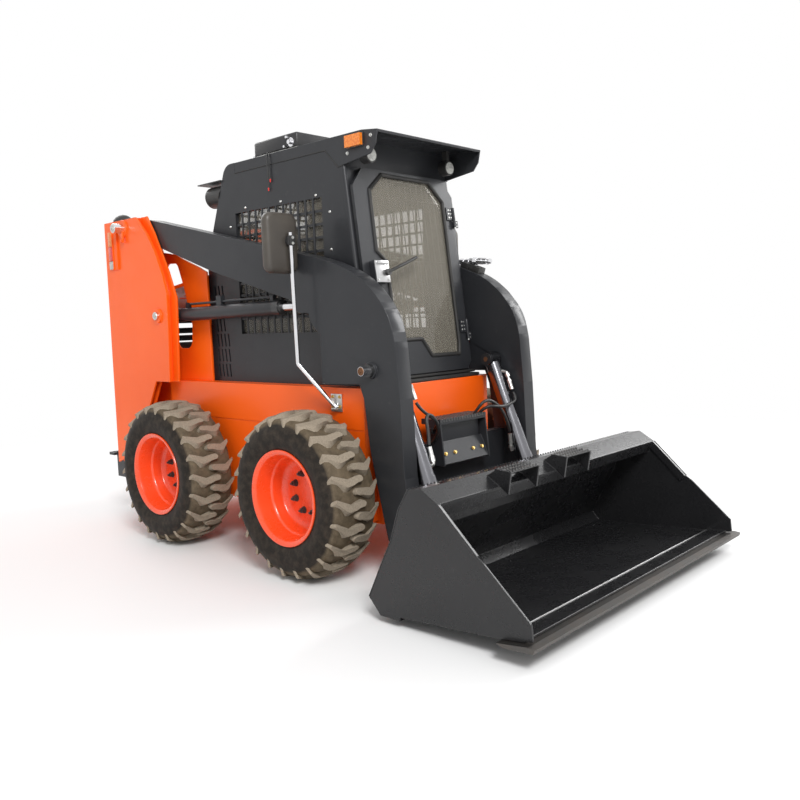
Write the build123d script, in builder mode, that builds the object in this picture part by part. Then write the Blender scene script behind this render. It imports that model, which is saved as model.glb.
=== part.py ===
"""Skid steer loader: a compact loader with lift arms, a bucket, a closed cab and lugged tyres."""
from build123d import *
from math import atan2, cos, degrees, hypot, radians, sin
import os

# Frame: origin on the ground below the middle of the overall length, +Z up, machine front
# towards -Y, machine left towards +X. Lengths are in millimetres. Profiles are (y, z) points
# from the chassis datum, which lies midway between the axles and DATUM_Z above the ground.
EDGE_TIP_Y = -2113
HOOK_END_Y = 1609
DATUM_Y = -(EDGE_TIP_Y + HOOK_END_Y) / 2
DATUM_Z = 14
SEAT_GAP = 0.3
RUNNING = 0.05

# Wheels
WHEELBASE = 1161
TYRE_X = 692
TYRE_R = 419
AXLE_Z = TYRE_R - DATUM_Z
CARCASS_R = 393
WHEEL_SIDES = 22
WHEEL_TURN = -5.4
LUG_COUNT = 22
LUG_WIDTH = 44
LUG_LEAN = 12
RIM_FLANGE_R = 239
RIM_FLANGE_X = 139
RIM_FLANGE = 8
RIM_BARREL_R = 217
RIM_WALL = 10
RIM_DISC_X = -32
RIM_DISC = 12
AXLE_R = 60

# Widths, measured from the centre plane
TUB_X = 430
CAB_X = 406
CAB_WALL = 30
CHAIN_CASE_X = 500
TOWER_INNER_X = 444
TOWER_MID_X = 564
TOWER_OUTER_X = 600
TOWER_PLATE = 12
ARM_IN_X = 455
ARM_OUT_X = 546
LIFT_X = 500.5
TILT_X = 404

# Heights of the chassis
DECK_Z = 921
TUB_BOTTOM = 235
TUB_PLATE = 12
TUB_FRONT = -872
TUB_REAR = 1400

# Joint axes as (y, z)
BOOM_PIVOT = (1178, 1886)
LIFT_BASE = (827, 1325)
LIFT_EYE = (-474, 1341)
TILT_BASE = (-945, 1015)
TILT_EYE = (-1212, 330)
BUCKET_PIVOT = (-1135, 150)
BOOM_PIN_R = 30
LIFT_PIN_R = 25
TILT_PIN_R = 22
BUCKET_PIN_R = 25
PIN_REACH = 70

# Cylinders
LIFT_BARREL_R = 40
LIFT_ROD_R = 22.5
LIFT_BARREL_LENGTH = 1080
LIFT_ROD_HELD = 720
TILT_BARREL_R = 40
TILT_ROD_R = 25
TILT_BARREL_LENGTH = 600
TILT_ROD_HELD = 300
ROD_ROOM = 80
EYE_R = 36

# Cab front and door: the plane leans back, measured from a point on its outer face
FRONT_LEAN = 0.12
FRONT_AT = (-825, 950)
FRAME_BACK = 28
FRAME_THICK = 30
DOOR_HALF_WIDTH = 388
DOOR_THICK = 18
DOOR_HEIGHT = 1062
DOOR_RISE = 14
DOOR_HINGE_X = 370
DOOR_HINGE_OUT = 12
KNUCKLE_R = 8
KNUCKLES = (205, 835)
DOOR_KNUCKLE = 70
FRAME_KNUCKLE = 40
REAR_DOOR_HINGE = (405, 1452)
REAR_KNUCKLES = (510, 1190)
REAR_KNUCKLE = 100
REAR_KNUCKLE_R = 9
GLASS = 6

# Guard screens
SCREEN_COLUMN = 61
SCREEN_ROW = 67
SCREEN_BAR = 13
SCREEN_WIRE = 6

BUCKET_HALF_WIDTH = 928
EDGE_HALF_WIDTH = 963
BUCKET_PLATE = 10
SIDES = {"right": -1, "left": 1}


def side_plate(outline, x_low, x_high, mode=Mode.ADD, soft=()):
    """Extrude a (y, z) outline between two x positions; soft lists (corner, radius)."""
    with BuildSketch(Plane.YZ.offset(x_low)) as face:
        with BuildLine():
            Polyline(*[(y + DATUM_Y, z + DATUM_Z) for y, z in outline], close=True)
        make_face()
        for (y, z), radius in soft:
            corner = face.vertices().sort_by_distance((y + DATUM_Y, z + DATUM_Z, 0))[0]
            fillet(corner, radius)
    extrude(face.sketch, amount=x_high - x_low, mode=mode)


def block(x_span, y_span, z_span, mode=Mode.ADD):
    """A box between two corners."""
    spans = (x_span, y_span, z_span)
    middle = Vector(*[(low + high) / 2 for low, high in spans]) + Vector(0, DATUM_Y, DATUM_Z)
    with Locations(middle):
        Box(*[high - low for low, high in spans], mode=mode)


def bar(start, end, radius, mode=Mode.ADD):
    """A round bar between two points."""
    run = Vector(*end) - Vector(*start)
    foot = Vector(*start) + Vector(0, DATUM_Y, DATUM_Z)
    with BuildSketch(Plane(origin=foot, z_dir=run)) as ring:
        Circle(radius)
    extrude(ring.sketch, amount=run.length, mode=mode)


def cross_pin(at, x_low, x_high, radius, mode=Mode.ADD):
    """A round bar along X at a (y, z) place."""
    bar((x_low, *at), (x_high, *at), radius, mode)


def span(side, near, far):
    """The x range between two distances from the centre plane, on one side."""
    return tuple(sorted((side * near, side * far)))


def along(start, end, distance, x):
    """A 3-D point part of the way from one (y, z) place towards another."""
    run = Vector(0, end[0] - start[0], end[1] - start[1]).normalized() * distance
    return (x, start[0] + run.Y, start[1] + run.Z)


def front_plane(rise=0, out=0):
    """The leaning plane of the cab front; rise is along the slope, out is towards the front."""
    slope = Vector(0, FRONT_LEAN, 1).normalized()
    normal = Vector(0, -slope.Z, slope.Y)
    origin = Vector(0, FRONT_AT[0] + DATUM_Y, FRONT_AT[1] + DATUM_Z) + slope * rise + normal * out
    return Plane(origin=origin, x_dir=(1, 0, 0), z_dir=normal)


def behind_frame(z):
    """A (y, z) point just behind the cab's front frame, where the side walls start."""
    back = (FRAME_BACK + FRAME_THICK) * hypot(1, FRONT_LEAN) + SEAT_GAP
    return (FRONT_AT[0] + (z - FRONT_AT[1]) * FRONT_LEAN + back, z)


def door_knuckle(rise, length, leaf_from, leaf_to, leaf_out):
    """A round knuckle on the door's axis, with a flat leaf beside it."""
    foot = front_plane(DOOR_RISE + rise, DOOR_HINGE_OUT)
    with BuildSketch(Plane(origin=foot.origin + Vector(DOOR_HINGE_X, 0, 0), z_dir=foot.y_dir)) as knuckle:
        Circle(KNUCKLE_R)
    extrude(knuckle.sketch, amount=length)
    with BuildSketch(front_plane(DOOR_RISE + rise + length / 2, leaf_out)) as leaf:
        with Locations(((leaf_from + leaf_to) / 2, 0)):
            Rectangle(leaf_to - leaf_from, length)
    extrude(leaf.sketch, amount=DOOR_HINGE_OUT - 2 - leaf_out)


def save(name, built):
    built.part.label = name
    export_step(built.part, f"parts/{name}.step")


os.makedirs("parts", exist_ok=True)

# Chassis tub: a belly pan with side walls, a front panel and a deck, open below the cab and engine
DECK_PLATE = 8
DECK_OPENING_X = 360
DECK_OPENINGS = ((-755, 505), (585, TUB_REAR - 20))
with BuildPart() as chassis_tub:
    block((-TUB_X, TUB_X), (TUB_FRONT, TUB_REAR), (TUB_BOTTOM, DECK_Z))
    block((-TUB_X + TUB_PLATE, TUB_X - TUB_PLATE), (TUB_FRONT + TUB_PLATE, TUB_REAR - TUB_PLATE),
          (TUB_BOTTOM + TUB_PLATE, DECK_Z - DECK_PLATE), Mode.SUBTRACT)
    for opening in DECK_OPENINGS:
        block((-DECK_OPENING_X, DECK_OPENING_X), opening, (DECK_Z - DECK_PLATE, DECK_Z), Mode.SUBTRACT)
save("chassis_tub", chassis_tub)

# Chain cases along both sides, with a groove where the upper and lower covers meet
CASE_FRONT = -840
CASE_REAR = 900
CASE_SEAM_Z = 710
with BuildPart() as chain_cases:
    for side in SIDES.values():
        block(span(side, TUB_X, CHAIN_CASE_X), (CASE_FRONT, CASE_REAR), (250, DECK_Z))
        block(span(side, CHAIN_CASE_X - 3, CHAIN_CASE_X + 1), (CASE_FRONT - 1, CASE_REAR + 1),
              (CASE_SEAM_Z - 3, CASE_SEAM_Z + 3), Mode.SUBTRACT)
save("chain_cases", chain_cases)

# Axle tubes stand out of the chain cases and end just inside the wheel discs
AXLE_END_X = TYRE_X + RIM_DISC_X - RIM_DISC - SEAT_GAP
AXLES = {"front": -WHEELBASE / 2, "rear": WHEELBASE / 2}
with BuildPart() as axle_tubes:
    for side in SIDES.values():
        for axle_y in AXLES.values():
            cross_pin((axle_y, AXLE_Z), side * CHAIN_CASE_X, side * AXLE_END_X, AXLE_R)
save("axle_tubes", axle_tubes)

# Towers: outer, middle and inner plates on each side, with a web, a top and a rear plate
TOWER_REAR = 1418
TOWER_TOP = 1943
TOWER_FOOT = ((CASE_REAR, DECK_Z), (1010, 740), (1120, 560), (1290, 420), (1444, 361))
TOWER_OUTER = ((TOWER_REAR, TOWER_TOP), (1021, TOWER_TOP), (918, 1846), (829, 1725), (756, 1575),
               (718, 1450), (721, 1268), (740, DECK_Z), *TOWER_FOOT)
TOWER_MIDDLE = ((TOWER_REAR, TOWER_TOP), (948, TOWER_TOP), (871, 1833), (813, 1725), (738, 1591),
                (668, 1426), (681, 1180), (700, DECK_Z), *TOWER_FOOT)
TOWER_WEB = ((1040, TOWER_TOP - TOWER_PLATE), (938, 1832), (851, 1714), (780, 1567), (743, 1447),
             (746, 1268), (764, DECK_Z), (776, DECK_Z), (758, 1268), (755, 1449), (791, 1562),
             (862, 1708), (947, 1823), (1048, TOWER_TOP - TOWER_PLATE))
TOWER_INNER = ((TOWER_REAR, TOWER_TOP), (1118, TOWER_TOP), (984, 1727), (841, 1705), (764, 1671),
               (594, 1610), (515, 1575), (515, DECK_Z), *TOWER_FOOT)
TOWER_SLOT = ((966, 1653), (830, 1648), (770, 1500), (700, 1263), (715, 1120), (880, 1120), (900, 1400))
TOWER_BOSS = 12
with BuildPart() as boom_pins:
    for side in SIDES.values():
        cross_pin(BOOM_PIVOT, side * (TOWER_INNER_X - TOWER_PLATE), side * (TOWER_OUTER_X + PIN_REACH),
                  BOOM_PIN_R)
        cross_pin(LIFT_BASE, side * (TOWER_INNER_X - TOWER_PLATE), side * (TOWER_OUTER_X + TOWER_BOSS + 10),
                  LIFT_PIN_R)
save("boom_pins", boom_pins)

for name, side in SIDES.items():
    plates = ((TOWER_OUTER, TOWER_OUTER_X), (TOWER_MIDDLE, TOWER_MID_X), (TOWER_INNER, TOWER_INNER_X))
    with BuildPart() as tower:
        for outline, outer_x in plates:
            side_plate(outline, *span(side, outer_x - TOWER_PLATE, outer_x))
        side_plate(TOWER_SLOT, *span(side, TOWER_INNER_X - TOWER_PLATE - 1, TOWER_INNER_X + 1),
                   Mode.SUBTRACT,
                   [((966, 1653), 40), ((830, 1648), 40), ((715, 1120), 60), ((880, 1120), 60)])
        side_plate(TOWER_WEB, *span(side, TOWER_MID_X, TOWER_OUTER_X - TOWER_PLATE))
        block(span(side, TOWER_INNER_X - TOWER_PLATE, TOWER_OUTER_X), (TOWER_REAR - TOWER_PLATE, TOWER_REAR),
              (430, TOWER_TOP))
        block(span(side, TOWER_INNER_X, TOWER_OUTER_X - TOWER_PLATE), (1252, TOWER_REAR),
              (TOWER_TOP - TOWER_PLATE, TOWER_TOP))
        block(span(side, TOWER_MID_X, TOWER_OUTER_X - TOWER_PLATE), (1040, 1252),
              (TOWER_TOP - TOWER_PLATE, TOWER_TOP))
        cross_pin(BOOM_PIVOT, side * TOWER_OUTER_X, side * (TOWER_OUTER_X + TOWER_BOSS), 55)
        cross_pin(LIFT_BASE, side * TOWER_OUTER_X, side * (TOWER_OUTER_X + TOWER_BOSS), 45)
        bore = (side * (TOWER_INNER_X - TOWER_PLATE - 1), side * (TOWER_OUTER_X + TOWER_BOSS + 1))
        cross_pin(BOOM_PIVOT, *bore, BOOM_PIN_R + RUNNING, Mode.SUBTRACT)
        cross_pin(LIFT_BASE, *bore, LIFT_PIN_R + RUNNING, Mode.SUBTRACT)
        if name == "left":
            for z in REAR_KNUCKLES:
                z_span = (z - SEAT_GAP - 40, z - SEAT_GAP)
                bar((*REAR_DOOR_HINGE, z_span[0]), (*REAR_DOOR_HINGE, z_span[1]), REAR_KNUCKLE_R)
                hinge_y = REAR_DOOR_HINGE[1]
                block((REAR_DOOR_HINGE[0], TOWER_INNER_X), (hinge_y - 5, hinge_y + 5), z_span)
                block((TOWER_INNER_X - TOWER_PLATE, TOWER_INNER_X), (TOWER_REAR, hinge_y + 5), z_span)
    save(f"tower_{name}", tower)

# Tail lamps on each outer plate's face
with BuildPart() as tail_lamps:
    for side in SIDES.values():
        block(span(side, TOWER_OUTER_X, TOWER_OUTER_X + 10), (1252, 1362), (1636, 1879))
save("tail_lamps", tail_lamps)

# Engine bay: hood with louvre slots, rear door with slats, bumper and the engine
HOOD_X = TOWER_INNER_X - TOWER_PLATE
HOOD_FRONT = 554
with BuildPart() as engine_hood:
    side_plate(((HOOD_FRONT, DECK_Z), (HOOD_FRONT, 1560), (1000, 1500), (TOWER_REAR - TOWER_PLATE, 1400),
                (TOWER_REAR - TOWER_PLATE, 1380), (1000, 1476), (HOOD_FRONT + 20, 1536),
                (HOOD_FRONT + 20, DECK_Z)), -HOOD_X, HOOD_X)
    for slot in range(8):
        block((-250, 250), (700 + 60 * slot, 722 + 60 * slot), (1300, 1600), Mode.SUBTRACT)
save("engine_hood", engine_hood)

DOOR_SLATS = 9
REAR_DOOR_Y = (1419, 1446)
with BuildPart() as rear_door:
    block((-400, 390), REAR_DOOR_Y, (440, 1360))
    block((-300, 290), (REAR_DOOR_Y[0] - 1, REAR_DOOR_Y[1] + 1), (760, 1280), Mode.SUBTRACT)
    for slat in range(DOOR_SLATS):
        z = 812 + 52 * slat
        side_plate(((REAR_DOOR_Y[0] + 2, z + 14), (REAR_DOOR_Y[0] + 2, z + 20), (REAR_DOOR_Y[1] - 2, z - 14),
                    (REAR_DOOR_Y[1] - 2, z - 20)), -300, 290)
    for z in REAR_KNUCKLES:
        bar((*REAR_DOOR_HINGE, z), (*REAR_DOOR_HINGE, z + REAR_KNUCKLE), REAR_KNUCKLE_R)
        block((385, REAR_DOOR_HINGE[0]), (REAR_DOOR_Y[1], REAR_DOOR_HINGE[1] + 4), (z, z + REAR_KNUCKLE))
save("rear_door", rear_door)

HOOK_AT = (-550, 1585)
HOOK_HOLE_R = 15
with BuildPart() as rear_bumper:
    block((-560, 560), (1446, 1540), (250, 425))
    block((-300, 300), (TUB_REAR, 1446), (260, 420))
    block((-580, -520), (1540, HOOK_END_Y), (395, 415))
    bar((*HOOK_AT, 390), (*HOOK_AT, 420), HOOK_HOLE_R, Mode.SUBTRACT)
save("rear_bumper", rear_bumper)

with BuildPart() as engine_block:
    block((-250, 250), (640, TUB_REAR - 130), (TUB_BOTTOM + TUB_PLATE, 1150))
save("engine_block", engine_block)

# Cab shell: side walls with punched screens, a rear wall, a front frame and a roof with a visor
ROOF_TOP = 2173
ROOF_REAR = 235
ROOF_SEAM = ((ROOF_REAR, 2115), (-537, 2115), (-628, 2020))
CAB_REAR_LOW = (548, 1643)
CAB_REAR_TOP = (325, ROOF_TOP)
CAB_SIDE = ((CAB_REAR_LOW[0], DECK_Z), CAB_REAR_LOW, CAB_REAR_TOP, (ROOF_REAR, ROOF_TOP), *ROOF_SEAM,
            behind_frame(ROOF_SEAM[2][1]), behind_frame(DECK_Z))
WINDOW_Y = (-495, 247)
WINDOW_Z = (1200, 1890)
SIDE_VENTS = ((985, 4), (1075, 4), (1165, 4), (1255, 3), (1450, 3))
with BuildPart() as cab_sides:
    for side in SIDES.values():
        side_plate(CAB_SIDE, *span(side, CAB_X - CAB_WALL, CAB_X), soft=[(CAB_REAR_TOP, 80)])
        block(span(side, CAB_X - CAB_WALL - 1, CAB_X + 1), WINDOW_Y, WINDOW_Z, Mode.SUBTRACT)
        for z, slots in SIDE_VENTS:
            for slot in range(slots):
                y = 475 - 36 * slot
                side_plate(((y, z - 38), (y + 13, z - 38), (y + 22, z + 38), (y + 9, z + 38)),
                           *span(side, CAB_X - 12, CAB_X + 1), Mode.SUBTRACT)
        columns = round((WINDOW_Y[1] - WINDOW_Y[0]) / SCREEN_COLUMN)
        for column in range(1, columns):
            y = WINDOW_Y[1] - column * SCREEN_COLUMN
            block(span(side, CAB_X - SCREEN_WIRE, CAB_X), (y - SCREEN_BAR / 2, y + SCREEN_BAR / 2), WINDOW_Z)
        rows = round((WINDOW_Z[1] - WINDOW_Z[0]) / SCREEN_ROW)
        for row in range(1, rows):
            z = WINDOW_Z[1] - row * SCREEN_ROW
            block(span(side, CAB_X - 2 * SCREEN_WIRE - SEAT_GAP, CAB_X - SCREEN_WIRE - SEAT_GAP), WINDOW_Y,
                  (z - SCREEN_BAR / 2, z + SCREEN_BAR / 2))
save("cab_sides", cab_sides)

with BuildPart() as side_windows:
    for side in SIDES.values():
        block(span(side, CAB_X - CAB_WALL + 2, CAB_X - CAB_WALL + 2 + GLASS), WINDOW_Y, WINDOW_Z)
save("side_windows", side_windows)

CAB_IN_X = CAB_X - CAB_WALL
CEILING_Z = 2144
HEADER_Y = (-655, -625)
VISOR = ((-800, ROOF_TOP - 1), (-908, 2158), (-893, 2092), (-858, 2050))
VISOR_PLATE = 8
VISOR_UNDER = VISOR[0][1] - VISOR_PLATE
VISOR_SLOT = (32, 8)
VISOR_SLOT_TURN = -38
VISOR_SLOT_ROWS = (-810, -752)
with BuildPart() as cab_roof:
    side_plate((ROOF_SEAM[0], (ROOF_REAR, ROOF_TOP), *VISOR, ROOF_SEAM[2], ROOF_SEAM[1]), -CAB_X, CAB_X)
    side_plate(((ROOF_REAR + 1, 2000), (ROOF_REAR + 1, CEILING_Z), (HEADER_Y[1], CEILING_Z),
                (HEADER_Y[1], 2000)), -CAB_IN_X, CAB_IN_X, Mode.SUBTRACT)
    side_plate(((HEADER_Y[0], VISOR_UNDER), (VISOR[0][0], VISOR_UNDER), (-904, 2149), (-925, 2000),
                (HEADER_Y[0], 2000)), -CAB_X + VISOR_PLATE, CAB_X - VISOR_PLATE, Mode.SUBTRACT)
    with BuildSketch(Plane.XY.offset(VISOR_UNDER)) as slots:
        for column in range(7):
            for y in VISOR_SLOT_ROWS:
                with Locations((-268 + 77 * column, y + DATUM_Y)):
                    Rectangle(*VISOR_SLOT, rotation=VISOR_SLOT_TURN)
    extrude(slots.sketch, amount=40, mode=Mode.SUBTRACT)
save("cab_roof", cab_roof)


def rear_y(z, inset):
    """The cab's rear slope at a height, measured inwards along Y."""
    share = (z - CAB_REAR_LOW[1]) / (CAB_REAR_TOP[1] - CAB_REAR_LOW[1])
    return CAB_REAR_LOW[0] + (CAB_REAR_TOP[0] - CAB_REAR_LOW[0]) * share - inset


REAR_GLASS_Z = (1665, 2030)
REAR_GLASS_X = 300
with BuildPart() as cab_rear:
    side_plate(((CAB_REAR_LOW[0], DECK_Z), CAB_REAR_LOW, CAB_REAR_TOP, (ROOF_REAR, ROOF_TOP),
                (ROOF_REAR, CEILING_Z), (rear_y(CEILING_Z, CAB_WALL), CEILING_Z),
                (CAB_REAR_LOW[0] - CAB_WALL, 1637), (CAB_REAR_LOW[0] - CAB_WALL, DECK_Z)), -CAB_IN_X,
               CAB_IN_X, soft=[(CAB_REAR_TOP, 80)])
    block((-REAR_GLASS_X, REAR_GLASS_X), (ROOF_REAR, 640), REAR_GLASS_Z, Mode.SUBTRACT)
    for row in range(1, 6):
        z = REAR_GLASS_Z[0] + row * (REAR_GLASS_Z[1] - REAR_GLASS_Z[0]) / 6
        side_plate(((rear_y(z - 6, 8), z - 6), (rear_y(z + 6, 8), z + 6), (rear_y(z + 6, 14), z + 6),
                    (rear_y(z - 6, 14), z - 6)), -REAR_GLASS_X, REAR_GLASS_X)
    for column in range(1, 9):
        x = -REAR_GLASS_X + column * 2 * REAR_GLASS_X / 9
        side_plate([(rear_y(z, inset), z) for z, inset in
                    ((REAR_GLASS_Z[0], 0), (REAR_GLASS_Z[1], 0),
                     (REAR_GLASS_Z[1], 6), (REAR_GLASS_Z[0], 6))],
                   x - SCREEN_BAR / 2, x + SCREEN_BAR / 2)
save("cab_rear", cab_rear)

with BuildPart() as rear_window:
    corners = ((REAR_GLASS_Z[0], 20), (REAR_GLASS_Z[1], 20), (REAR_GLASS_Z[1], 26), (REAR_GLASS_Z[0], 26))
    side_plate([(rear_y(z, inset), z) for z, inset in corners],
               -REAR_GLASS_X, REAR_GLASS_X)
save("rear_window", rear_window)

# Cab front: a leaning frame set back behind the door, which overlaps it all round
FRAME_OPEN_X = 340
FRAME_OPEN_RISE = (54, 1045)
FRAME_CHAMFER = (78, 94)
FRAME_CORNER_R = 16
HINGE_FOOT = (393, 404)
with BuildPart() as cab_front:
    with BuildSketch(front_plane(0, -FRAME_BACK)) as frame_face:
        with Locations((0, 540)):
            Rectangle(2 * CAB_X, 1200)
        low, high = FRAME_OPEN_RISE
        with BuildLine():
            Polyline((-FRAME_OPEN_X, low), (FRAME_OPEN_X, low), (FRAME_OPEN_X, high - FRAME_CHAMFER[1]),
                     (FRAME_OPEN_X - FRAME_CHAMFER[0], high), (FRAME_CHAMFER[0] - FRAME_OPEN_X, high),
                     (-FRAME_OPEN_X, high - FRAME_CHAMFER[1]), close=True)
        make_face(mode=Mode.SUBTRACT)
    extrude(frame_face.sketch, amount=-FRAME_THICK)
    corners = [edge for edge in cab_front.edges().filter_by(Axis((0, 0, 0), front_plane().y_dir))
               if abs(edge.center().X) > CAB_X - 1]
    fillet(ShapeList(corners).sort_by(Axis.Y)[:2], FRAME_CORNER_R)
    block((-CAB_X - 1, CAB_X + 1), (-1000, -600), (DECK_Z - 100, DECK_Z), Mode.SUBTRACT)
    side_plate(((VISOR[-1][0], VISOR[-1][1] - SEAT_GAP), (ROOF_SEAM[2][0], ROOF_SEAM[2][1] - SEAT_GAP),
                (ROOF_SEAM[2][0], 2300), (VISOR[-1][0], 2300)), -CAB_X - 1, CAB_X + 1, Mode.SUBTRACT)
    for rise in KNUCKLES:
        door_knuckle(rise - SEAT_GAP - FRAME_KNUCKLE, FRAME_KNUCKLE, DOOR_HINGE_X, HINGE_FOOT[1], 6)
        foot_out = -FRAME_BACK - FRAME_THICK / 2
        with BuildSketch(front_plane(DOOR_RISE + rise - SEAT_GAP - FRAME_KNUCKLE / 2, foot_out)) as foot:
            with Locations((sum(HINGE_FOOT) / 2, 0)):
                Rectangle(HINGE_FOOT[1] - HINGE_FOOT[0], FRAME_KNUCKLE)
        extrude(foot.sketch, amount=DOOR_HINGE_OUT - 2 - foot_out)
save("cab_front", cab_front)

with BuildPart() as roof_box:
    block((-350, 350), (-256, 117), (2190, 2271))
    for x in (-300, 300):
        for y in (-220, 80):
            block((x - 15, x + 15), (y - 15, y + 15), (ROOF_TOP, 2190))
save("roof_box", roof_box)

FLOOR_Z = TUB_BOTTOM + TUB_PLATE
with BuildPart() as seat:
    side_plate(((-120, 640), (-120, 740), (-60, 770), (230, 750), (300, 1300), (340, 1350), (400, 1340),
                (330, 640)), -240, 240, soft=[((-120, 740), 25), ((300, 1300), 30), ((400, 1340), 25)])
    block((-200, 200), (-60, 300), (FLOOR_Z, 640))
save("seat", seat)

with BuildPart() as control_levers:
    for side in SIDES.values():
        block(span(side, 250, 330), (-340, -260), (FLOOR_Z, 300))
        bar((side * 290, -300, 290), (side * 290, -330, 1060), 14)
        bar((side * 290, -330, 1060), (side * 290, -340, 1180), 26)
save("control_levers", control_levers)

# Lamps: two under the visor, two behind the cab below small brims, and amber ones on the cheeks
FRONT_LAMP = (306, 2071)
REAR_LAMP = (350, 2015)
with BuildPart() as work_lamps:
    for side in SIDES.values():
        bar((side * FRONT_LAMP[0], -766, FRONT_LAMP[1]), (side * FRONT_LAMP[0], -716, FRONT_LAMP[1]), 39)
        block(span(side, FRONT_LAMP[0] - 12, FRONT_LAMP[0] + 12), (-756, -726),
              (2100, VISOR_UNDER - SEAT_GAP))
        bar((side * REAR_LAMP[0], 330, REAR_LAMP[1]), (side * REAR_LAMP[0], 530, REAR_LAMP[1]), 62)
        block(span(side, REAR_LAMP[0] - 70, REAR_LAMP[0] + 70), (330, 590), (2088, 2094))
    side_plate(((320, 1900), (rear_y(1900, 0), 1900), (rear_y(2160, 0), 2160), (280, 2160)), -CAB_X - 40,
               CAB_X + 40, Mode.SUBTRACT)
save("work_lamps", work_lamps)

with BuildPart() as signal_lamps:
    for side in SIDES.values():
        block(span(side, CAB_X, CAB_X + 24), (-812, -704), (2098, 2154))
save("signal_lamps", signal_lamps)

# Mirrors on bent poles, each bolted to the side of a chain case
POLE_R = 11
with BuildPart() as mirrors:
    for side in SIDES.values():
        block(span(side, CHAIN_CASE_X, CHAIN_CASE_X + 8), (-690, -610), (800, 890))
        bar((side * (CHAIN_CASE_X + POLE_R), -650, 820), (side * 618, -500, 1046), POLE_R)
        bar((side * 618, -500, 1036), (side * 618, -486, 1700), POLE_R)
        bar((side * 618, -500, 1660), (side * 618, -460, 1660), 24)
        with BuildSketch(Plane.XZ.offset(470 - DATUM_Y)) as housing:
            with Locations((side * 650, 1650 + DATUM_Z)):
                RectangleRounded(200, 300, 45)
        extrude(housing.sketch, amount=-60)
save("mirrors", mirrors)

# Door in the cab front: it hangs from round knuckles at the machine's left
# The free lower corner is cut back to swing past the tilt cylinder's eye
DOOR_EDGE = ((-306, 0), (348, 0), (DOOR_HALF_WIDTH, 45), (DOOR_HALF_WIDTH, DOOR_HEIGHT - 94),
             (310, DOOR_HEIGHT), (-310, DOOR_HEIGHT), (-DOOR_HALF_WIDTH, DOOR_HEIGHT - 94),
             (-DOOR_HALF_WIDTH, 155))
DOOR_PANE = ((-172, 1034), (-270, 952), (-272, 638), (-206, 582), (-206, 185), (-6, 185), (52, 92),
             (284, 92), (296, 150), (296, 930), (188, 1030))
with BuildPart() as door_frame:
    with BuildSketch(front_plane(DOOR_RISE)) as leaf:
        with BuildLine():
            Polyline(*DOOR_EDGE, close=True)
        make_face()
        with BuildLine():
            Polyline(*DOOR_PANE, close=True)
        make_face(mode=Mode.SUBTRACT)
    extrude(leaf.sketch, amount=-DOOR_THICK)
    for rise in KNUCKLES:
        door_knuckle(rise, DOOR_KNUCKLE, DOOR_HINGE_X - 56, DOOR_HINGE_X, 0)
    with BuildSketch(front_plane(DOOR_RISE + 530)) as latch:
        with Locations((-290, 0)):
            RectangleRounded(104, 116, 15)
    extrude(latch.sketch, amount=35)
save("door_frame", door_frame)

with BuildPart() as door_glass:
    with BuildSketch(front_plane(DOOR_RISE, -8)) as pane:
        with BuildLine():
            Polyline(*DOOR_PANE, close=True)
        make_face()
    extrude(pane.sketch, amount=-GLASS)
save("door_glass", door_glass)

# Boom: two arms, pins for the tilt cylinders, a cross plate with a step, hydraulic couplers
ARM = ((1178, 1948), (939, 1920), (277, 1770), (-545, 1582), (-691, 1542), (-829, 1489), (-895, 1452),
       (-971, 1392), (-1033, 1320), (-1080, 1250), (-1105, 1130), (-1124, 882), (-1138, 510),
       (-1190, 160), (-1150, 95), (-1100, 95), (-1013, 205), (-970, 394), (-916, 632), (-888, 872),
       (-860, 945), (-591, 941), (-593, 1188), (-536, 1239), (-510, 1300), (-440, 1300), (-373, 1371),
       (298, 1559), (844, 1741), (1130, 1840), (1178, 1826), (1230, 1850), (1236, 1910))
ARM_BEND = ARM[5:11]
for name, side in SIDES.items():
    with BuildPart() as arm:
        side_plate(ARM, *span(side, ARM_IN_X, ARM_OUT_X), soft=[(corner, 300) for corner in ARM_BEND])
        block(span(side, LIFT_X - 31, LIFT_X + 31), (-560, -300), (1250, 1420), Mode.SUBTRACT)
        cross_pin(TILT_BASE, side * ARM_OUT_X, side * (ARM_OUT_X + 14), 40)
        for at, radius in ((BOOM_PIVOT, BOOM_PIN_R), (BUCKET_PIVOT, BUCKET_PIN_R), (TILT_BASE, TILT_PIN_R)):
            cross_pin(at, side * (ARM_IN_X - 1), side * (ARM_OUT_X + 15), radius + RUNNING, Mode.SUBTRACT)
    save(f"arm_{name}", arm)

with BuildPart() as tilt_pins:
    for side in SIDES.values():
        cross_pin(TILT_BASE, side * (TILT_X - 46), side * (ARM_OUT_X + PIN_REACH), TILT_PIN_R)
save("tilt_pins", tilt_pins)

STEP_X = 190
with BuildPart() as boom_cross:
    block((-ARM_IN_X, ARM_IN_X), (-985, -935), (400, 622))
    block((-160, 160), (-1030, -985), (500, 716))
    block((-STEP_X, STEP_X), (-1060, -935), (716, 744))
    side_plate(((-1030, 626), (-1078, 517), (-1066, 512), (-1018, 620)), -STEP_X, STEP_X)
    for x in (-STEP_X, STEP_X - 10):
        side_plate(((-985, 716), (-1060, 716), (-1082, 510), (-985, 510)), x, x + 10)
save("boom_cross", boom_cross)

with BuildPart() as quick_couplers:
    side_plate(((-691, 1542), (-829, 1489), (-829, 1525), (-691, 1578)), 470, 530)
    for x, y in ((485, -720), (515, -775), (485, -812)):
        bar((x, y + 60, 1575), (x + 40, y - 50, 1562), 14)
        bar((x + 25, y - 8, 1568), (x + 44, y - 60, 1561), 19)
save("quick_couplers", quick_couplers)

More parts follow.
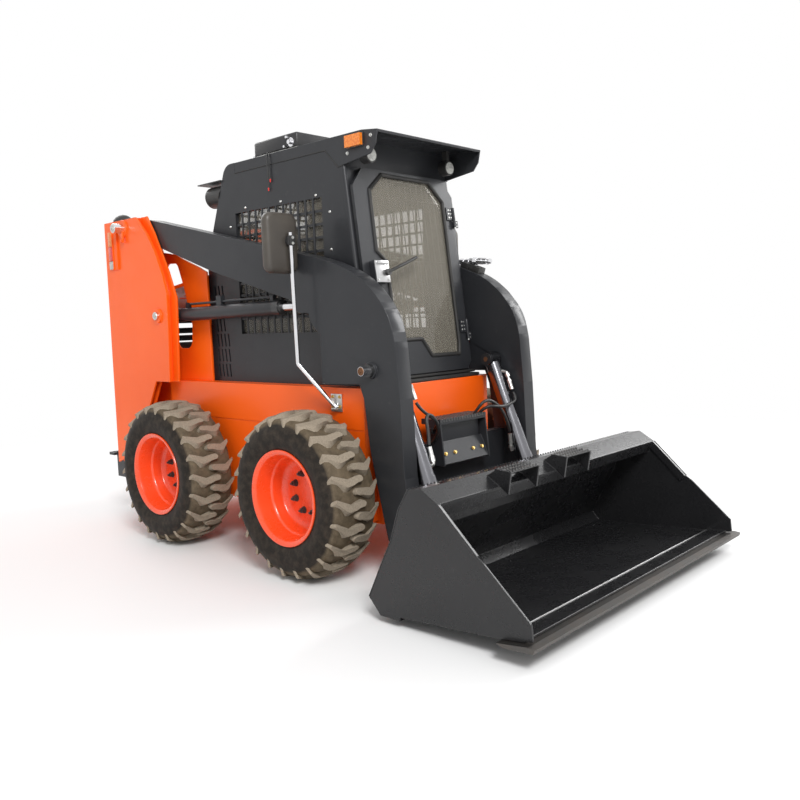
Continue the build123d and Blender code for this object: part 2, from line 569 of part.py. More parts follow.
# Bucket: a bent shell between side plates, a top channel with two step brackets, and an edge
BUCKET_SIDE = ((-1503, 575), (-1571, 586), (-1656, 534), (-1839, 360), (-1875, 337), (-2077, 155),
               (-2083, 90), (-1944, 67), (-1702, 50), (-1437, 33), (-1309, 33), (-1260, 85),
               (-1346, 252), (-1402, 355), (-1448, 486))
SHELL = ((-1503, 575), (-1571, 586), (-1656, 534), (-1650, 520), (-1571, 570), (-1510, 562),
         (-1460, 486), (-1414, 355), (-1358, 252), (-1275, 90), (-1315, 45), (-1437, 45),
         (-1702, 62), (-1944, 79), (-2050, 92), (-2050, 80), (-1944, 67), (-1702, 50), (-1437, 33),
         (-1309, 33), (-1260, 85), (-1346, 252), (-1402, 355), (-1448, 486))
STEP_BRACKETS = (-410, 30)
with BuildPart() as bucket_shell:
    side_plate(SHELL, -BUCKET_HALF_WIDTH, BUCKET_HALF_WIDTH)
    side_plate(((-1571, 570), (-1650, 520), (-1622, 470), (-1500, 540), (-1510, 562)),
               -BUCKET_HALF_WIDTH, BUCKET_HALF_WIDTH)
    side_plate(((-1309, 33), (-1437, 33), (-1437, 18), (-1322, 18)), -BUCKET_HALF_WIDTH, BUCKET_HALF_WIDTH)
    for side in SIDES.values():
        side_plate(BUCKET_SIDE, *span(side, BUCKET_HALF_WIDTH - BUCKET_PLATE, BUCKET_HALF_WIDTH))
        side_plate(((-1656, 534), (-1839, 360), (-1812, 332), (-1630, 506)),
                   *span(side, BUCKET_HALF_WIDTH - 2 * BUCKET_PLATE, BUCKET_HALF_WIDTH))
    for x in STEP_BRACKETS:
        for low, high in ((x - 110, x - 100), (x + 100, x + 110)):
            side_plate(((-1590, 574), (-1656, 534), (-1700, 500), (-1715, 594), (-1632, 600)), low, high)
        side_plate(((-1715, 594), (-1632, 600), (-1632, 606), (-1715, 600)), x - 110, x + 110)
save("bucket_shell", bucket_shell)

with BuildPart() as cutting_edge:
    side_plate(((EDGE_TIP_Y, 80), (EDGE_TIP_Y + 6, 63), (-1975, 55), (-1944, 67), (-2050, 80), (-2083, 84)),
               -EDGE_HALF_WIDTH, EDGE_HALF_WIDTH)
save("cutting_edge", cutting_edge)

# Quick attach plate with the pivot ears and the bucket pins
with BuildPart() as quick_plate:
    side_plate(((-1259, 86), (-1346 + SEAT_GAP, 252), (-1402 + SEAT_GAP, 355), (-1430, 440),
                (-1402, 440), (-1376, 350), (-1320, 248), (-1230, 86)), -450, 450)
    for side in SIDES.values():
        for near, far in ((359, 374), (434, 449)):
            side_plate(((-1135, 95), (-1240, 86), (-1330, 252), (-1390, 355), (-1250, 372),
                        (-1190, 360), (-1085, 170), (-1090, 110)), *span(side, near, far))
        cross_pin(BUCKET_PIVOT, side * 434, side * (ARM_OUT_X + 14), BUCKET_PIN_R)
save("quick_plate", quick_plate)


def barrel(base, eye, x, radius, length, rod_r, held, width, pin_r):
    """A cylinder tube with its base eye and the bore that the held length of the rod runs in."""
    bar(along(base, eye, radius * 0.7, x), along(base, eye, length, x), radius)
    bar(along(base, eye, length - held - ROD_ROOM, x), along(base, eye, length + 1, x), rod_r + RUNNING,
        Mode.SUBTRACT)
    cross_pin(base, x - width / 2, x + width / 2, radius)
    cross_pin(base, x - width / 2 - 1, x + width / 2 + 1, pin_r + RUNNING, Mode.SUBTRACT)


def rod(base, eye, x, radius, start, width):
    """A cylinder rod with its eye, which is bored for its pin."""
    length = hypot(eye[0] - base[0], eye[1] - base[1])
    bar(along(base, eye, start, x), along(base, eye, length - EYE_R * 0.7, x), radius)
    cross_pin(eye, x - width / 2, x + width / 2, EYE_R)
    cross_pin(eye, x - width / 2 - 1, x + width / 2 + 1, TILT_PIN_R, Mode.SUBTRACT)


with BuildPart() as lift_barrels:
    for side in SIDES.values():
        barrel(LIFT_BASE, LIFT_EYE, side * LIFT_X, LIFT_BARREL_R, LIFT_BARREL_LENGTH,
               LIFT_ROD_R, LIFT_ROD_HELD, 76, LIFT_PIN_R)
        x = side * LIFT_X
        block((x - 14, x + 14), (285, 330), (1362, 1425))
        bar((x, 640, 1388), (x, -180, 1396), 7)
        block((x - 12, x + 12), (-190, -165), (1366, 1405))
        block((x - 12, x + 12), (628, 652), (1362, 1397))
save("lift_barrels", lift_barrels)

with BuildPart() as lift_rods:
    for side in SIDES.values():
        rod(LIFT_BASE, LIFT_EYE, side * LIFT_X, LIFT_ROD_R, LIFT_BARREL_LENGTH - LIFT_ROD_HELD, 50)
save("lift_rods", lift_rods)

with BuildPart() as tilt_barrels:
    for side in SIDES.values():
        barrel(TILT_BASE, TILT_EYE, side * TILT_X, TILT_BARREL_R, TILT_BARREL_LENGTH,
               TILT_ROD_R, TILT_ROD_HELD, 80, TILT_PIN_R)
save("tilt_barrels", tilt_barrels)

with BuildPart() as tilt_rods:
    for side in SIDES.values():
        rod(TILT_BASE, TILT_EYE, side * TILT_X, TILT_ROD_R, TILT_BARREL_LENGTH - TILT_ROD_HELD, 50)
save("tilt_rods", tilt_rods)

# Wheels, made once about the X axis with the outer side towards +X, then placed four times.
# Each pair of setbacks is (across the end face, along the axle).
TYRE_HALF = 150
SHOULDER = (83, 24)
BEAD_X = RIM_FLANGE_X - RIM_FLANGE - SEAT_GAP
BEAD_R = RIM_BARREL_R + SEAT_GAP / cos(radians(180 / WHEEL_SIDES))
BEAD_RECESS_R = RIM_FLANGE_R + 7
SIDEWALL_DISH = (52, 18)
BOWL_R = 190
BOWL_TAPER = -5.7
BOWL_SLOPE = (40, 14)
LUG_ROOT = CARCASS_R - 16
LUG_PITCH = 360 / LUG_COUNT
LUG_REACH = 116
LUG_CORNER = LUG_WIDTH / 2 * cos(radians(LUG_LEAN)) + LUG_REACH * sin(radians(LUG_LEAN))
LUG_TOP = (TYRE_R ** 2 - LUG_CORNER ** 2) ** 0.5
LUG_TIP = (149, 332)
LUG = ((-22, LUG_ROOT), (-22, LUG_TOP), (LUG_REACH, LUG_TOP), LUG_TIP)


def drum(low, high, radius, mode=Mode.ADD, taper=0):
    """A many-sided drum between two places along the axle."""
    with BuildSketch(Plane.YZ.offset(low)) as ring:
        RegularPolygon(radius, WHEEL_SIDES, rotation=WHEEL_TURN)
    extrude(ring.sketch, amount=high - low, taper=taper, mode=mode)


def end_face(shape, end):
    """The face at the inner end (0) or the outer end (-1) of a wheel part."""
    return shape.faces().sort_by(Axis.X)[end]


def lug_planes():
    """A plane for each lug: two rows, half a pitch apart, both leaning the way the wheel turns."""
    lowest = degrees(atan2(LUG_CORNER, LUG_TOP))
    lean = radians(LUG_LEAN)
    for row, phase in ((-1, 0), (1, LUG_PITCH / 2)):
        for lug in range(LUG_COUNT):
            angle = radians(270 - lowest + phase + lug * LUG_PITCH)
            radial = Vector(0, cos(angle), sin(angle))
            axial = Vector(row * cos(lean), -sin(angle) * sin(lean), cos(angle) * sin(lean))
            yield Plane(origin=(0, 0, 0), x_dir=axial, z_dir=axial.cross(radial))


with BuildPart() as lugged_tyre:
    drum(-TYRE_HALF, TYRE_HALF, CARCASS_R)
    drum(-TYRE_HALF, TYRE_HALF, BEAD_R, Mode.SUBTRACT)
    drum(BEAD_X, TYRE_HALF, BEAD_RECESS_R, Mode.SUBTRACT)
    for end in (0, -1):
        wall = end_face(lugged_tyre, end)
        chamfer(wall.outer_wire().edges(), *SHOULDER, reference=wall)
    wall = end_face(lugged_tyre, -1)
    chamfer(wall.inner_wires()[0].edges(), *SIDEWALL_DISH, reference=wall)
    with BuildSketch(*lug_planes()) as lugs:
        with BuildLine():
            Polyline(*LUG, close=True)
        make_face()
    extrude(lugs.sketch, amount=LUG_WIDTH / 2, both=True)

with BuildPart() as bowl:
    drum(RIM_DISC_X, RIM_FLANGE_X + 1, BOWL_R, taper=BOWL_TAPER)
    floor_face = end_face(bowl, 0)
    chamfer(floor_face.edges(), *BOWL_SLOPE, reference=floor_face)

with BuildPart() as dished_rim:
    drum(-RIM_FLANGE_X, RIM_FLANGE_X - RIM_FLANGE, RIM_BARREL_R)
    drum(RIM_FLANGE_X - RIM_FLANGE, RIM_FLANGE_X, RIM_FLANGE_R)
    drum(-RIM_FLANGE_X, RIM_DISC_X - RIM_DISC, RIM_BARREL_R - RIM_WALL, Mode.SUBTRACT)
    add(bowl.part, mode=Mode.SUBTRACT)

for end, axle_y in AXLES.items():
    for name, side in SIDES.items():
        for piece, pattern in (("tyre", lugged_tyre.part), ("rim", dished_rim.part)):
            if side < 0:
                pattern = pattern.mirror(Plane.YZ)
            with BuildPart() as wheel:
                with Locations((side * TYRE_X, axle_y + DATUM_Y, TYRE_R)):
                    add(pattern)
            save(f"{piece}_{end}_{name}", wheel)
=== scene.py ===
import bpy
import bmesh
import math
from mathutils import Matrix, Vector


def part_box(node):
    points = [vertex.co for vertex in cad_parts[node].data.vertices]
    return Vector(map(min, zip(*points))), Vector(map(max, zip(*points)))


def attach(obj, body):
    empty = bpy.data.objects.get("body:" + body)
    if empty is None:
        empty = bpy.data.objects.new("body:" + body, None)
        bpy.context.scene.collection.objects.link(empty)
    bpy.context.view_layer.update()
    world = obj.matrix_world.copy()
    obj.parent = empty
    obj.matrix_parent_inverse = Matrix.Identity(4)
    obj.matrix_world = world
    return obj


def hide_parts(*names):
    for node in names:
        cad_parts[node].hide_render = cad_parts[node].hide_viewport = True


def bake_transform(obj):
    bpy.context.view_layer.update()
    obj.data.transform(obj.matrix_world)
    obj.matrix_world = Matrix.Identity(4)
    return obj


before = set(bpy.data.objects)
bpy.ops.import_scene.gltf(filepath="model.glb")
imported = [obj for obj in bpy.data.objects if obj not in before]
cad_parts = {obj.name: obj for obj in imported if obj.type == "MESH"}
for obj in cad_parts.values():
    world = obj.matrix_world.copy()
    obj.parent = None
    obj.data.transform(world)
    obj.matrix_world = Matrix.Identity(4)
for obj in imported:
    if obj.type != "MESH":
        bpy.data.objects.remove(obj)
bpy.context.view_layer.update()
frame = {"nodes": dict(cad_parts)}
nodes = frame["nodes"]

# side profiles are written from the chassis datum, midway between the axles
datum = Vector((0, 0.252, 0.014))
sides = {"right": -1, "left": 1}
xAxis, yAxis, zAxis = Vector((1, 0, 0)), Vector((0, 1, 0)), Vector((0, 0, 1))


def at(x, y, z):
    return Vector((x, y, z)) + datum


# ---- shader helpers

class Tie:
    # one socket of a node tree, with arithmetic that adds Math nodes
    def __init__(self, nodes, socket):
        self.nodes = nodes
        self.socket = socket

    def maths(self, operation, *values):
        return self.nodes.node("ShaderNodeMath", {"operation": operation}, *values)

    def __add__(self, other):
        return self.maths("ADD", self, other)

    def __radd__(self, other):
        return self.maths("ADD", other, self)

    def __sub__(self, other):
        return self.maths("SUBTRACT", self, other)

    def __rsub__(self, other):
        return self.maths("SUBTRACT", other, self)

    def __mul__(self, other):
        return self.maths("MULTIPLY", self, other)

    def __rmul__(self, other):
        return self.maths("MULTIPLY", other, self)


class Nodes:
    # the node tree of a material or world, with one way to add any node
    def __init__(self, owner):
        self.owner = owner
        owner.use_nodes = True
        self.tree = owner.node_tree

    def give(self, target, value):
        # links a socket, or sets it, where a colour is (red, green, blue)
        if isinstance(value, Tie):
            self.tree.links.new(value.socket, target)
        elif value is not None:
            target.default_value = (*value, 1.0) if target.type == "RGBA" else value

    def node(self, kind, settings, *values, **named):
        made = self.tree.nodes.new(kind)
        output = settings.pop("output", 0)
        for key, value in settings.items():
            setattr(made, key, value)
        for target, value in list(zip(made.inputs, values)) + [(made.inputs[key], named[key]) for key in named]:
            self.give(target, value)
        return Tie(self, made.outputs[output])

    def finish(self, surface):
        output = next(node for node in self.tree.nodes if "Output" in node.name)
        self.tree.links.new(surface.socket, output.inputs["Surface"])


class Paint(Nodes):
    # a material with its Principled shader
    def __init__(self, name, **sockets):
        self.material = bpy.data.materials.new(name)
        super().__init__(self.material)
        self.shader = self.tree.nodes["Principled BSDF"]
        for socket, value in sockets.items():
            self.set(socket.replace("_", " "), value)
        self.place = None

    def set(self, socket, value):
        self.give(self.shader.inputs[socket], value)

    def position(self):
        if self.place is None:
            self.place = self.node("ShaderNodeTexCoord", {"output": "Object"})
        return self.place

    def stretched(self, x, y, z):
        return self.node("ShaderNodeVectorMath", {"operation": "MULTIPLY"}, self.position(), (x, y, z))

    def noise(self, scale, detail=4, roughness=0.55, place=None):
        return self.node("ShaderNodeTexNoise", {}, Vector=place or self.position(), Scale=scale,
                         Detail=detail, Roughness=roughness)

    def ramp(self, value, low, high):
        return self.node("ShaderNodeMapRange", {"clamp": True}, value, low, high, 0.0, 1.0)

    def blend(self, share, first, second):
        # a Mix node's colours are its inputs 6 and 7, and its output 2
        return self.node("ShaderNodeMix", {"data_type": "RGBA", "output": 2}, share, *[None] * 5, first, second)

    def bump(self, height, strength, distance):
        self.set("Normal", self.node("ShaderNodeBump", {}, Strength=strength, Distance=distance, Height=height))


# ---- finishes

def paintedSteel(name, colour, deep, pale, roughness, coat=0.35, peel=0.15, gloss=0.5):
    # sprayed paint: soft colour drift, fine pale speckle, uneven shine and orange peel
    paint = Paint(name, Roughness=roughness, Coat_Weight=coat, Coat_Roughness=0.12, Specular_IOR_Level=gloss)
    drift = paint.ramp(paint.noise(1.7, 3), 0.35, 0.68)
    speckle = paint.ramp(paint.noise(38, 5, 0.6), 0.62, 0.78)
    tone = paint.blend(drift, deep, colour)
    paint.set("Base Color", paint.blend(speckle * 0.18, tone, pale))
    wear = paint.ramp(paint.noise(9, 6, 0.7), 0.45, 0.75)
    paint.set("Roughness", roughness + wear * 0.12)
    paint.bump(paint.noise(260, 2), peel, 0.0006)
    return paint.material


rubber = {
    "sidewall": ((0.015, 0.012, 0.0095), (0.05, 0.038, 0.028)),
    "soil": ((0.07, 0.053, 0.034), (0.16, 0.122, 0.08)),
    "dust": ((0.25, 0.205, 0.155), (0.36, 0.305, 0.235)),
}


def rubberTread(name):
    # the tread attribute is 1 on lug tops, about a half on lug walls and grooves, 0 on the sidewall
    paint = Paint(name, Roughness=0.8, Specular_IOR_Level=0.18)
    tread = paint.node("ShaderNodeAttribute", {"attribute_name": "tread", "output": 2})
    grime = paint.noise(24, 7, 0.65)
    fine = paint.noise(150, 4, 0.6)
    sidewall = paint.blend(paint.ramp(grime, 0.42, 0.75), *rubber["sidewall"])
    soil = paint.blend(paint.ramp(grime, 0.3, 0.7), *rubber["soil"])
    dust = paint.blend(paint.ramp(fine, 0.3, 0.75), *rubber["dust"])
    lower = paint.blend(paint.ramp(tread, 0.05, 0.45), sidewall, soil)
    paint.set("Base Color", paint.blend(paint.ramp(tread + (grime - 0.5) * 0.25, 0.78, 0.9), lower, dust))
    paint.set("Roughness", 0.62 + tread * 0.25)
    paint.bump(fine * 0.6 + grime, 0.35, 0.002)
    return paint.material


def bareMetal(name, colour, dark, roughness, stain=0.2, scratch=(4, 220, 220)):
    # brushed or plated metal: drifting stain and fine scratches along X
    paint = Paint(name, Metallic=1.0, Roughness=roughness)
    drift = paint.ramp(paint.noise(14, 5), 0.4, 0.75)
    paint.set("Base Color", paint.blend(drift * stain, colour, dark))
    lines = paint.noise(6, 3, place=paint.stretched(*scratch))
    paint.set("Roughness", roughness + paint.ramp(lines, 0.35, 0.75) * 0.12)
    paint.bump(lines, 0.06, 0.0004)
    return paint.material


def moulded(name, colour, pale, roughness, grain=420):
    # plastic, rubber or cast metal with a fine grain
    paint = Paint(name, Roughness=roughness)
    drift = paint.ramp(paint.noise(6, 4), 0.4, 0.7)
    paint.set("Base Color", paint.blend(drift, colour, pale))
    paint.bump(paint.noise(grain, 3), 0.12, 0.0008)
    return paint.material


def clearGlass(name, tint, alpha):
    # clear glass with a thin film of dust
    paint = Paint(name, Base_Color=tint, Roughness=0.02)
    film = paint.ramp(paint.noise(3, 3), 0.35, 0.75)
    paint.set("Alpha", alpha + film * 0.05)
    return paint.material


def lens(name, colour, pale, glow=0.0):
    # moulded clear plastic with soft facets
    paint = Paint(name, Roughness=0.12, Coat_Weight=0.6, Emission_Strength=glow)
    ribs = paint.ramp(paint.noise(90, 1), 0.4, 0.6)
    for socket in ("Base Color", "Emission Color"):
        paint.set(socket, paint.blend(ribs * 0.4, colour, pale))
    paint.bump(ribs, 0.1, 0.001)
    return paint.material


finishes = {
    "orange": paintedSteel("bodyOrange", (1.0, 0.132, 0.006), (0.96, 0.118, 0.005),
                           (0.98, 0.22, 0.05), 0.32, 0.15, 0.12, 0.35),
    "rim": paintedSteel("rimRed", (0.92, 0.088, 0.018), (0.87, 0.072, 0.014),
                        (0.9, 0.16, 0.07), 0.26, 0.5),
    "charcoal": paintedSteel("charcoal", (0.026, 0.027, 0.030), (0.020, 0.021, 0.024),
                             (0.09, 0.088, 0.085), 0.36, 0.12, 0.12, 0.3),
    "bucket": paintedSteel("bucketBlack", (0.017, 0.017, 0.018), (0.012, 0.012, 0.013),
                           (0.075, 0.072, 0.068), 0.26, 0.2, 0.12, 0.35),
    "tyre": rubberTread("tyreRubber"),
    "chrome": bareMetal("chromePlate", (0.78, 0.78, 0.8), (0.5, 0.5, 0.5), 0.12),
    "zinc": bareMetal("zincPlate", (0.62, 0.62, 0.6), (0.4, 0.38, 0.34), 0.35),
    "darkChrome": bareMetal("cylinderSleeve", (0.2, 0.2, 0.215), (0.1, 0.1, 0.1), 0.16),
    "edge": bareMetal("edgeSteel", (0.11, 0.105, 0.1), (0.2, 0.14, 0.1), 0.42),
    "iron": moulded("castIron", (0.04, 0.04, 0.04), (0.075, 0.07, 0.065), 0.6),
    "blackPlastic": moulded("blackPlastic", (0.02, 0.02, 0.02), (0.032, 0.03, 0.028), 0.45),
    "mirrorShell": moulded("mirrorShell", (0.05, 0.043, 0.036), (0.068, 0.058, 0.047), 0.42),
    "vinyl": moulded("seatVinyl", (0.018, 0.018, 0.02), (0.03, 0.03, 0.032), 0.5, 260),
    "glass": clearGlass("cabGlass", (0.30, 0.275, 0.225), 0.30),
    "amber": lens("amberLens", (0.66, 0.15, 0.006), (0.9, 0.32, 0.03), 0.06),
    "tail": lens("tailLens", (0.62, 0.02, 0.01), (0.8, 0.06, 0.03)),
    "lampGlass": lens("lampGlass", (0.35, 0.35, 0.33), (0.75, 0.75, 0.7)),
    "rubber": moulded("blackRubber", (0.012, 0.012, 0.012), (0.024, 0.022, 0.02), 0.62, 300),
    "blackSteel": paintedSteel("blackSteel", (0.02, 0.02, 0.021), (0.014, 0.014, 0.015),
                               (0.07, 0.065, 0.06), 0.34, 0.3),
    "palePlate": bareMetal("latchPlate", (0.6, 0.6, 0.6), (0.42, 0.41, 0.4), 0.28),
    "roofCase": moulded("roofCase", (0.016, 0.016, 0.018), (0.03, 0.029, 0.028), 0.4, 520),
    "brass": bareMetal("brassPlate", (0.62, 0.44, 0.16), (0.4, 0.26, 0.1), 0.3),
    "weld": bareMetal("weldMetal", (0.42, 0.42, 0.42), (0.25, 0.22, 0.2), 0.4),
    "rust": bareMetal("rustedSteel", (0.24, 0.13, 0.075), (0.12, 0.055, 0.03), 0.6, 0.7),
    "mirrorFace": bareMetal("mirrorFace", (0.82, 0.83, 0.85), (0.74, 0.75, 0.77), 0.03, 0.1),
    "hose": moulded("hoseRubber", (0.014, 0.014, 0.014), (0.028, 0.027, 0.026), 0.48, 700),
    "redPlastic": moulded("redPlastic", (0.55, 0.02, 0.015), (0.6, 0.04, 0.03), 0.4),
}

nodeFinish = {
    "orange": ("chassis_tub", "chain_cases", "tower_right", "tower_left", "engine_hood"),
    "charcoal": ("rear_bumper", "rear_door", "cab_sides", "cab_roof", "cab_rear", "cab_front", "door_frame",
                 "arm_right", "arm_left", "boom_cross", "quick_plate", "lift_barrels"),
    "bucket": ("bucket_shell",),
    "edge": ("cutting_edge",),
    "blackPlastic": ("roof_box", "control_levers", "work_lamps", "mirrors"),
    "iron": ("engine_block", "axle_tubes"),
    "vinyl": ("seat",),
    "chrome": ("boom_pins", "tilt_pins", "quick_couplers", "lift_rods", "tilt_rods"),
    "darkChrome": ("tilt_barrels",),
    "glass": ("door_glass", "rear_window", "side_windows"),
    "amber": ("signal_lamps",),
    "tail": ("tail_lamps",),
    "rim": ("rim_front_right", "rim_front_left", "rim_rear_right", "rim_rear_left"),
    "tyre": ("tyre_front_right", "tyre_front_left", "tyre_rear_right", "tyre_rear_left"),
}

for finish, names in nodeFinish.items():
    for name in names:
        mesh = nodes[name].data
        mesh.materials.clear()
        mesh.materials.append(finishes[finish])
print("finishes set")


# ---- mesh helpers

def addObject(name, data):
    made = bpy.data.objects.new(name, data)
    bpy.context.scene.collection.objects.link(made)
    return made


def keep(bm, name, finish, replaces=(), crease=35, body="chassis"):
    # turns a bmesh into a finished piece that rides on a body, with its finish's material
    bmesh.ops.recalc_face_normals(bm, faces=bm.faces)
    for face in bm.faces:
        face.smooth = True
    for edge in bm.edges:
        edge.smooth = len(edge.link_faces) == 2 and edge.calc_face_angle() < math.radians(crease)
    mesh = bpy.data.meshes.new(name)
    bm.to_mesh(mesh)
    bm.free()
    piece = addObject(name, mesh)
    mesh.materials.append(finishes[finish])
    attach(piece, body)
    if replaces:
        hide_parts(*replaces)
    return piece


def soften(name, width, segments=2):
    # rounds the edges of a CAD node
    weld = nodes[name].modifiers.new("weld", "WELD")
    weld.merge_threshold = 0.00005
    bevel = nodes[name].modifiers.new("bevel", "BEVEL")
    bevel.width = width
    bevel.segments = segments
    bevel.limit_method = "ANGLE"
    bevel.angle_limit = math.radians(28)
    bevel.harden_normals = True
    bevel.miter_outer = "MITER_ARC"


def lathe(bm, profile, steps):
    # turns a profile of (x, radius) points about the X axis
    verts = [bm.verts.new((x, 0, radius)) for x, radius in profile]
    edges = [bm.edges.new(pair) for pair in zip(verts, verts[1:])]
    bmesh.ops.spin(bm, geom=verts + edges, cent=(0, 0, 0), axis=(1, 0, 0), angle=math.tau, steps=steps,
                   use_merge=True)


# ---- small shapes

def roundBar(bm, start, end, radius, segments=16, tip=None):
    # a straight round bar, or a cone where tip is given
    start, end = Vector(start), Vector(end)
    run = end - start
    place = Matrix.Translation((start + end) / 2) @ run.to_track_quat("Z", "Y").to_matrix().to_4x4()
    bmesh.ops.create_cone(bm, cap_ends=True, segments=segments, radius1=radius,
                          radius2=radius if tip is None else tip, depth=run.length, matrix=place)


def sleeve(bm, foot, run, near, far, radius, segments=16, tip=None):
    # a round bar between two distances along a run
    roundBar(bm, foot + run * near, foot + run * far, radius, segments, tip)


def ball(bm, spot, radius, detail=2):
    bmesh.ops.create_icosphere(bm, subdivisions=detail, radius=radius, matrix=Matrix.Translation(Vector(spot)))


def roundEdges(bm, edges, width, segments):
    bmesh.ops.bevel(bm, geom=edges, offset=width, segments=segments, profile=0.5, affect="EDGES", material=-1)


def slab(bm, middle, size, edge=0.0, turn=None, segments=2):
    # a block with rounded edges, turned by a matrix about its middle
    verts = bmesh.ops.create_cube(bm, size=1)["verts"]
    bmesh.ops.scale(bm, vec=size, verts=verts)
    place = Matrix.Translation(Vector(middle)) @ (turn.to_4x4() if turn else Matrix.Identity(4))
    bmesh.ops.transform(bm, matrix=place, verts=verts)
    if edge:
        roundEdges(bm, list(dict.fromkeys(link for vert in verts for link in vert.link_edges)), edge, segments)


def bolt(bm, spot, facing, size, sunk=0.001):
    # a washer and a hexagon head on a surface
    facing = Vector(facing).normalized()
    foot = Vector(spot) - facing * sunk
    sleeve(bm, foot, facing, 0, sunk + size * 0.22, size * 1.25, 20)
    sleeve(bm, foot, facing, 0, sunk + size * 0.95, size, 6, size * 0.96)


def panHead(bm, spot, facing, size):
    facing = Vector(facing).normalized()
    sleeve(bm, Vector(spot), facing, -0.001, size * 0.55, size, 14, size * 0.62)


def bead(bm, points, radius, segments=8):
    # a round strip along straight runs, with a ball at each bend
    for start, end in zip(points, points[1:]):
        roundBar(bm, start, end, radius, segments)
    for spot in points[1:-1]:
        ball(bm, spot, radius, 1)


def ringBar(bm, middle, radius, thick, steps=48):
    # a flat-lying round ring of round bar
    older = set(bm.verts)
    place = Matrix.Translation((radius, 0, 0)) @ Matrix.Rotation(math.pi / 2, 4, "X")
    circle = bmesh.ops.create_circle(bm, segments=8, radius=thick, matrix=place)["verts"]
    loop = dict.fromkeys(edge for vert in circle for edge in vert.link_edges)
    bmesh.ops.spin(bm, geom=[*circle, *loop], cent=(0, 0, 0), axis=zAxis, angle=math.tau, steps=steps,
                   use_merge=True)
    bmesh.ops.translate(bm, vec=middle, verts=[vert for vert in bm.verts if vert not in older])


# ---- wheels

tyre = {
    "centreX": 0.692, "radius": 0.419, "wheelbase": 1.161, "steps": 132, "lugs": 22,
    # the inner half of the wall, as (x, radius) from the bead to the middle of the tread
    "wall": ((-0.1307, 0.2405), (-0.137, 0.252), (-0.147, 0.285), (-0.1495, 0.312), (-0.146, 0.336),
             (-0.1395, 0.352), (-0.136, 0.357), (-0.128, 0.374), (-0.114, 0.386), (-0.08, 0.3905),
             (-0.04, 0.3925), (0, 0.393)),
    "treadFrom": 0.372,
    # one lug seen from above: (x outwards, distance round the tyre)
    "lug": ((-0.020, -0.018), (-0.031, -0.010), (-0.034, 0.004), (-0.027, 0.018), (-0.012, 0.026),
            (0.028, 0.022), (0.066, 0.016), (0.138, 0.054), (0.142, 0.044), (0.142, 0.028), (0.086, -0.030),
            (0.068, -0.036), (0.030, -0.030), (0.010, -0.022)),
    "lugTaper": (0.97, 0.86, 1), "taperFrom": (-0.05, 0, 0), "lugInset": 0.0035,
    "groove": 0.389, "grooveDepth": 0.02, "shoulderX": 0.11, "shoulderFoot": 0.343,
    "footSpread": 0.022, "spreadFrom": 0.01, "spreadOver": 0.06, "spreadTo": 0.05,
    "crownCurve": 1.05, "crownEdge": 0.108, "edgeCurve": 11,
}
rim = {
    "profile": ((-0.139, 0.205), (-0.139, 0.217), (0.1308, 0.217), (0.1308, 0.2385), (0.1345, 0.2392),
                (0.1385, 0.2375), (0.139, 0.232), (0.136, 0.224), (0.128, 0.214), (0.112, 0.2085),
                (0.062, 0.2035), (0.05, 0.2005), (0.044, 0.194), (0.036, 0.191), (-0.006, 0.188),
                (-0.018, 0.181), (-0.0275, 0.166), (-0.03, 0.15), (-0.0315, 0.142), (-0.032, 0.07),
                (-0.032, 0.0)),
    "back": ((-0.139, 0.205), (-0.06, 0.205), (-0.045, 0.195), (-0.044, 0.0)),
    "steps": 96, "nuts": 8, "nutCircle": 0.1016, "nutSeat": -0.032,
    # washer, nut and stud: depth, radius at the foot, radius at the top, sides
    "nutStack": ((0.006, 0.019, 0.017, 20), (0.022, 0.0145, 0.0135, 6), (0.034, 0.0075, 0.0065, 12)),
}


def treadRadius(x):
    # the crown of the tread: nearly flat, falling at the shoulders
    over = max(0.0, abs(x) - tyre["crownEdge"])
    return tyre["radius"] - tyre["crownCurve"] * x * x - tyre["edgeCurve"] * over * over


def toAxle(bm, side, centre):
    # mirrors a wheel part for its side and moves it to its axle
    bmesh.ops.scale(bm, vec=(side, 1, 1), verts=bm.verts)
    bmesh.ops.translate(bm, vec=centre, verts=bm.verts)


def addLug(bm, tread, row, turn):
    # one bar: its top stands at the crown, inset from a foot that wraps round the carcass
    foot = [bm.verts.new((x, s, 0)) for x, s in tyre["lug"]]
    made = bmesh.ops.extrude_face_region(bm, geom=[bm.faces.new(foot)])["geom"]
    top = [part for part in made if isinstance(part, bmesh.types.BMVert)]
    cap = [part for part in made if isinstance(part, bmesh.types.BMFace)]
    for vert in foot:
        vert[tread] = 0.5
    for vert in top:
        vert[tread] = 1.0
        vert.co.z = 1
    bmesh.ops.scale(bm, vec=tyre["lugTaper"], verts=top, space=Matrix.Translation(tyre["taperFrom"]))
    ring = bmesh.ops.inset_region(bm, faces=cap, thickness=tyre["lugInset"], depth=0)["faces"]
    for vert in dict.fromkeys([*foot, *(vert for face in ring for vert in face.verts)]):
        x, s, _ = vert.co
        radius = treadRadius(x)
        if vert not in top:
            if abs(x) < tyre["shoulderX"]:
                radius = min(tyre["groove"], radius - tyre["grooveDepth"])
            else:
                radius = tyre["shoulderFoot"]
            if s < tyre["spreadTo"]:
                share = (x - tyre["spreadFrom"]) / tyre["spreadOver"]
                s -= tyre["footSpread"] * min(1, max(0, share))
        angle = turn + s / tyre["radius"]
        vert.co = (row * x, radius * math.sin(angle), radius * math.cos(angle))


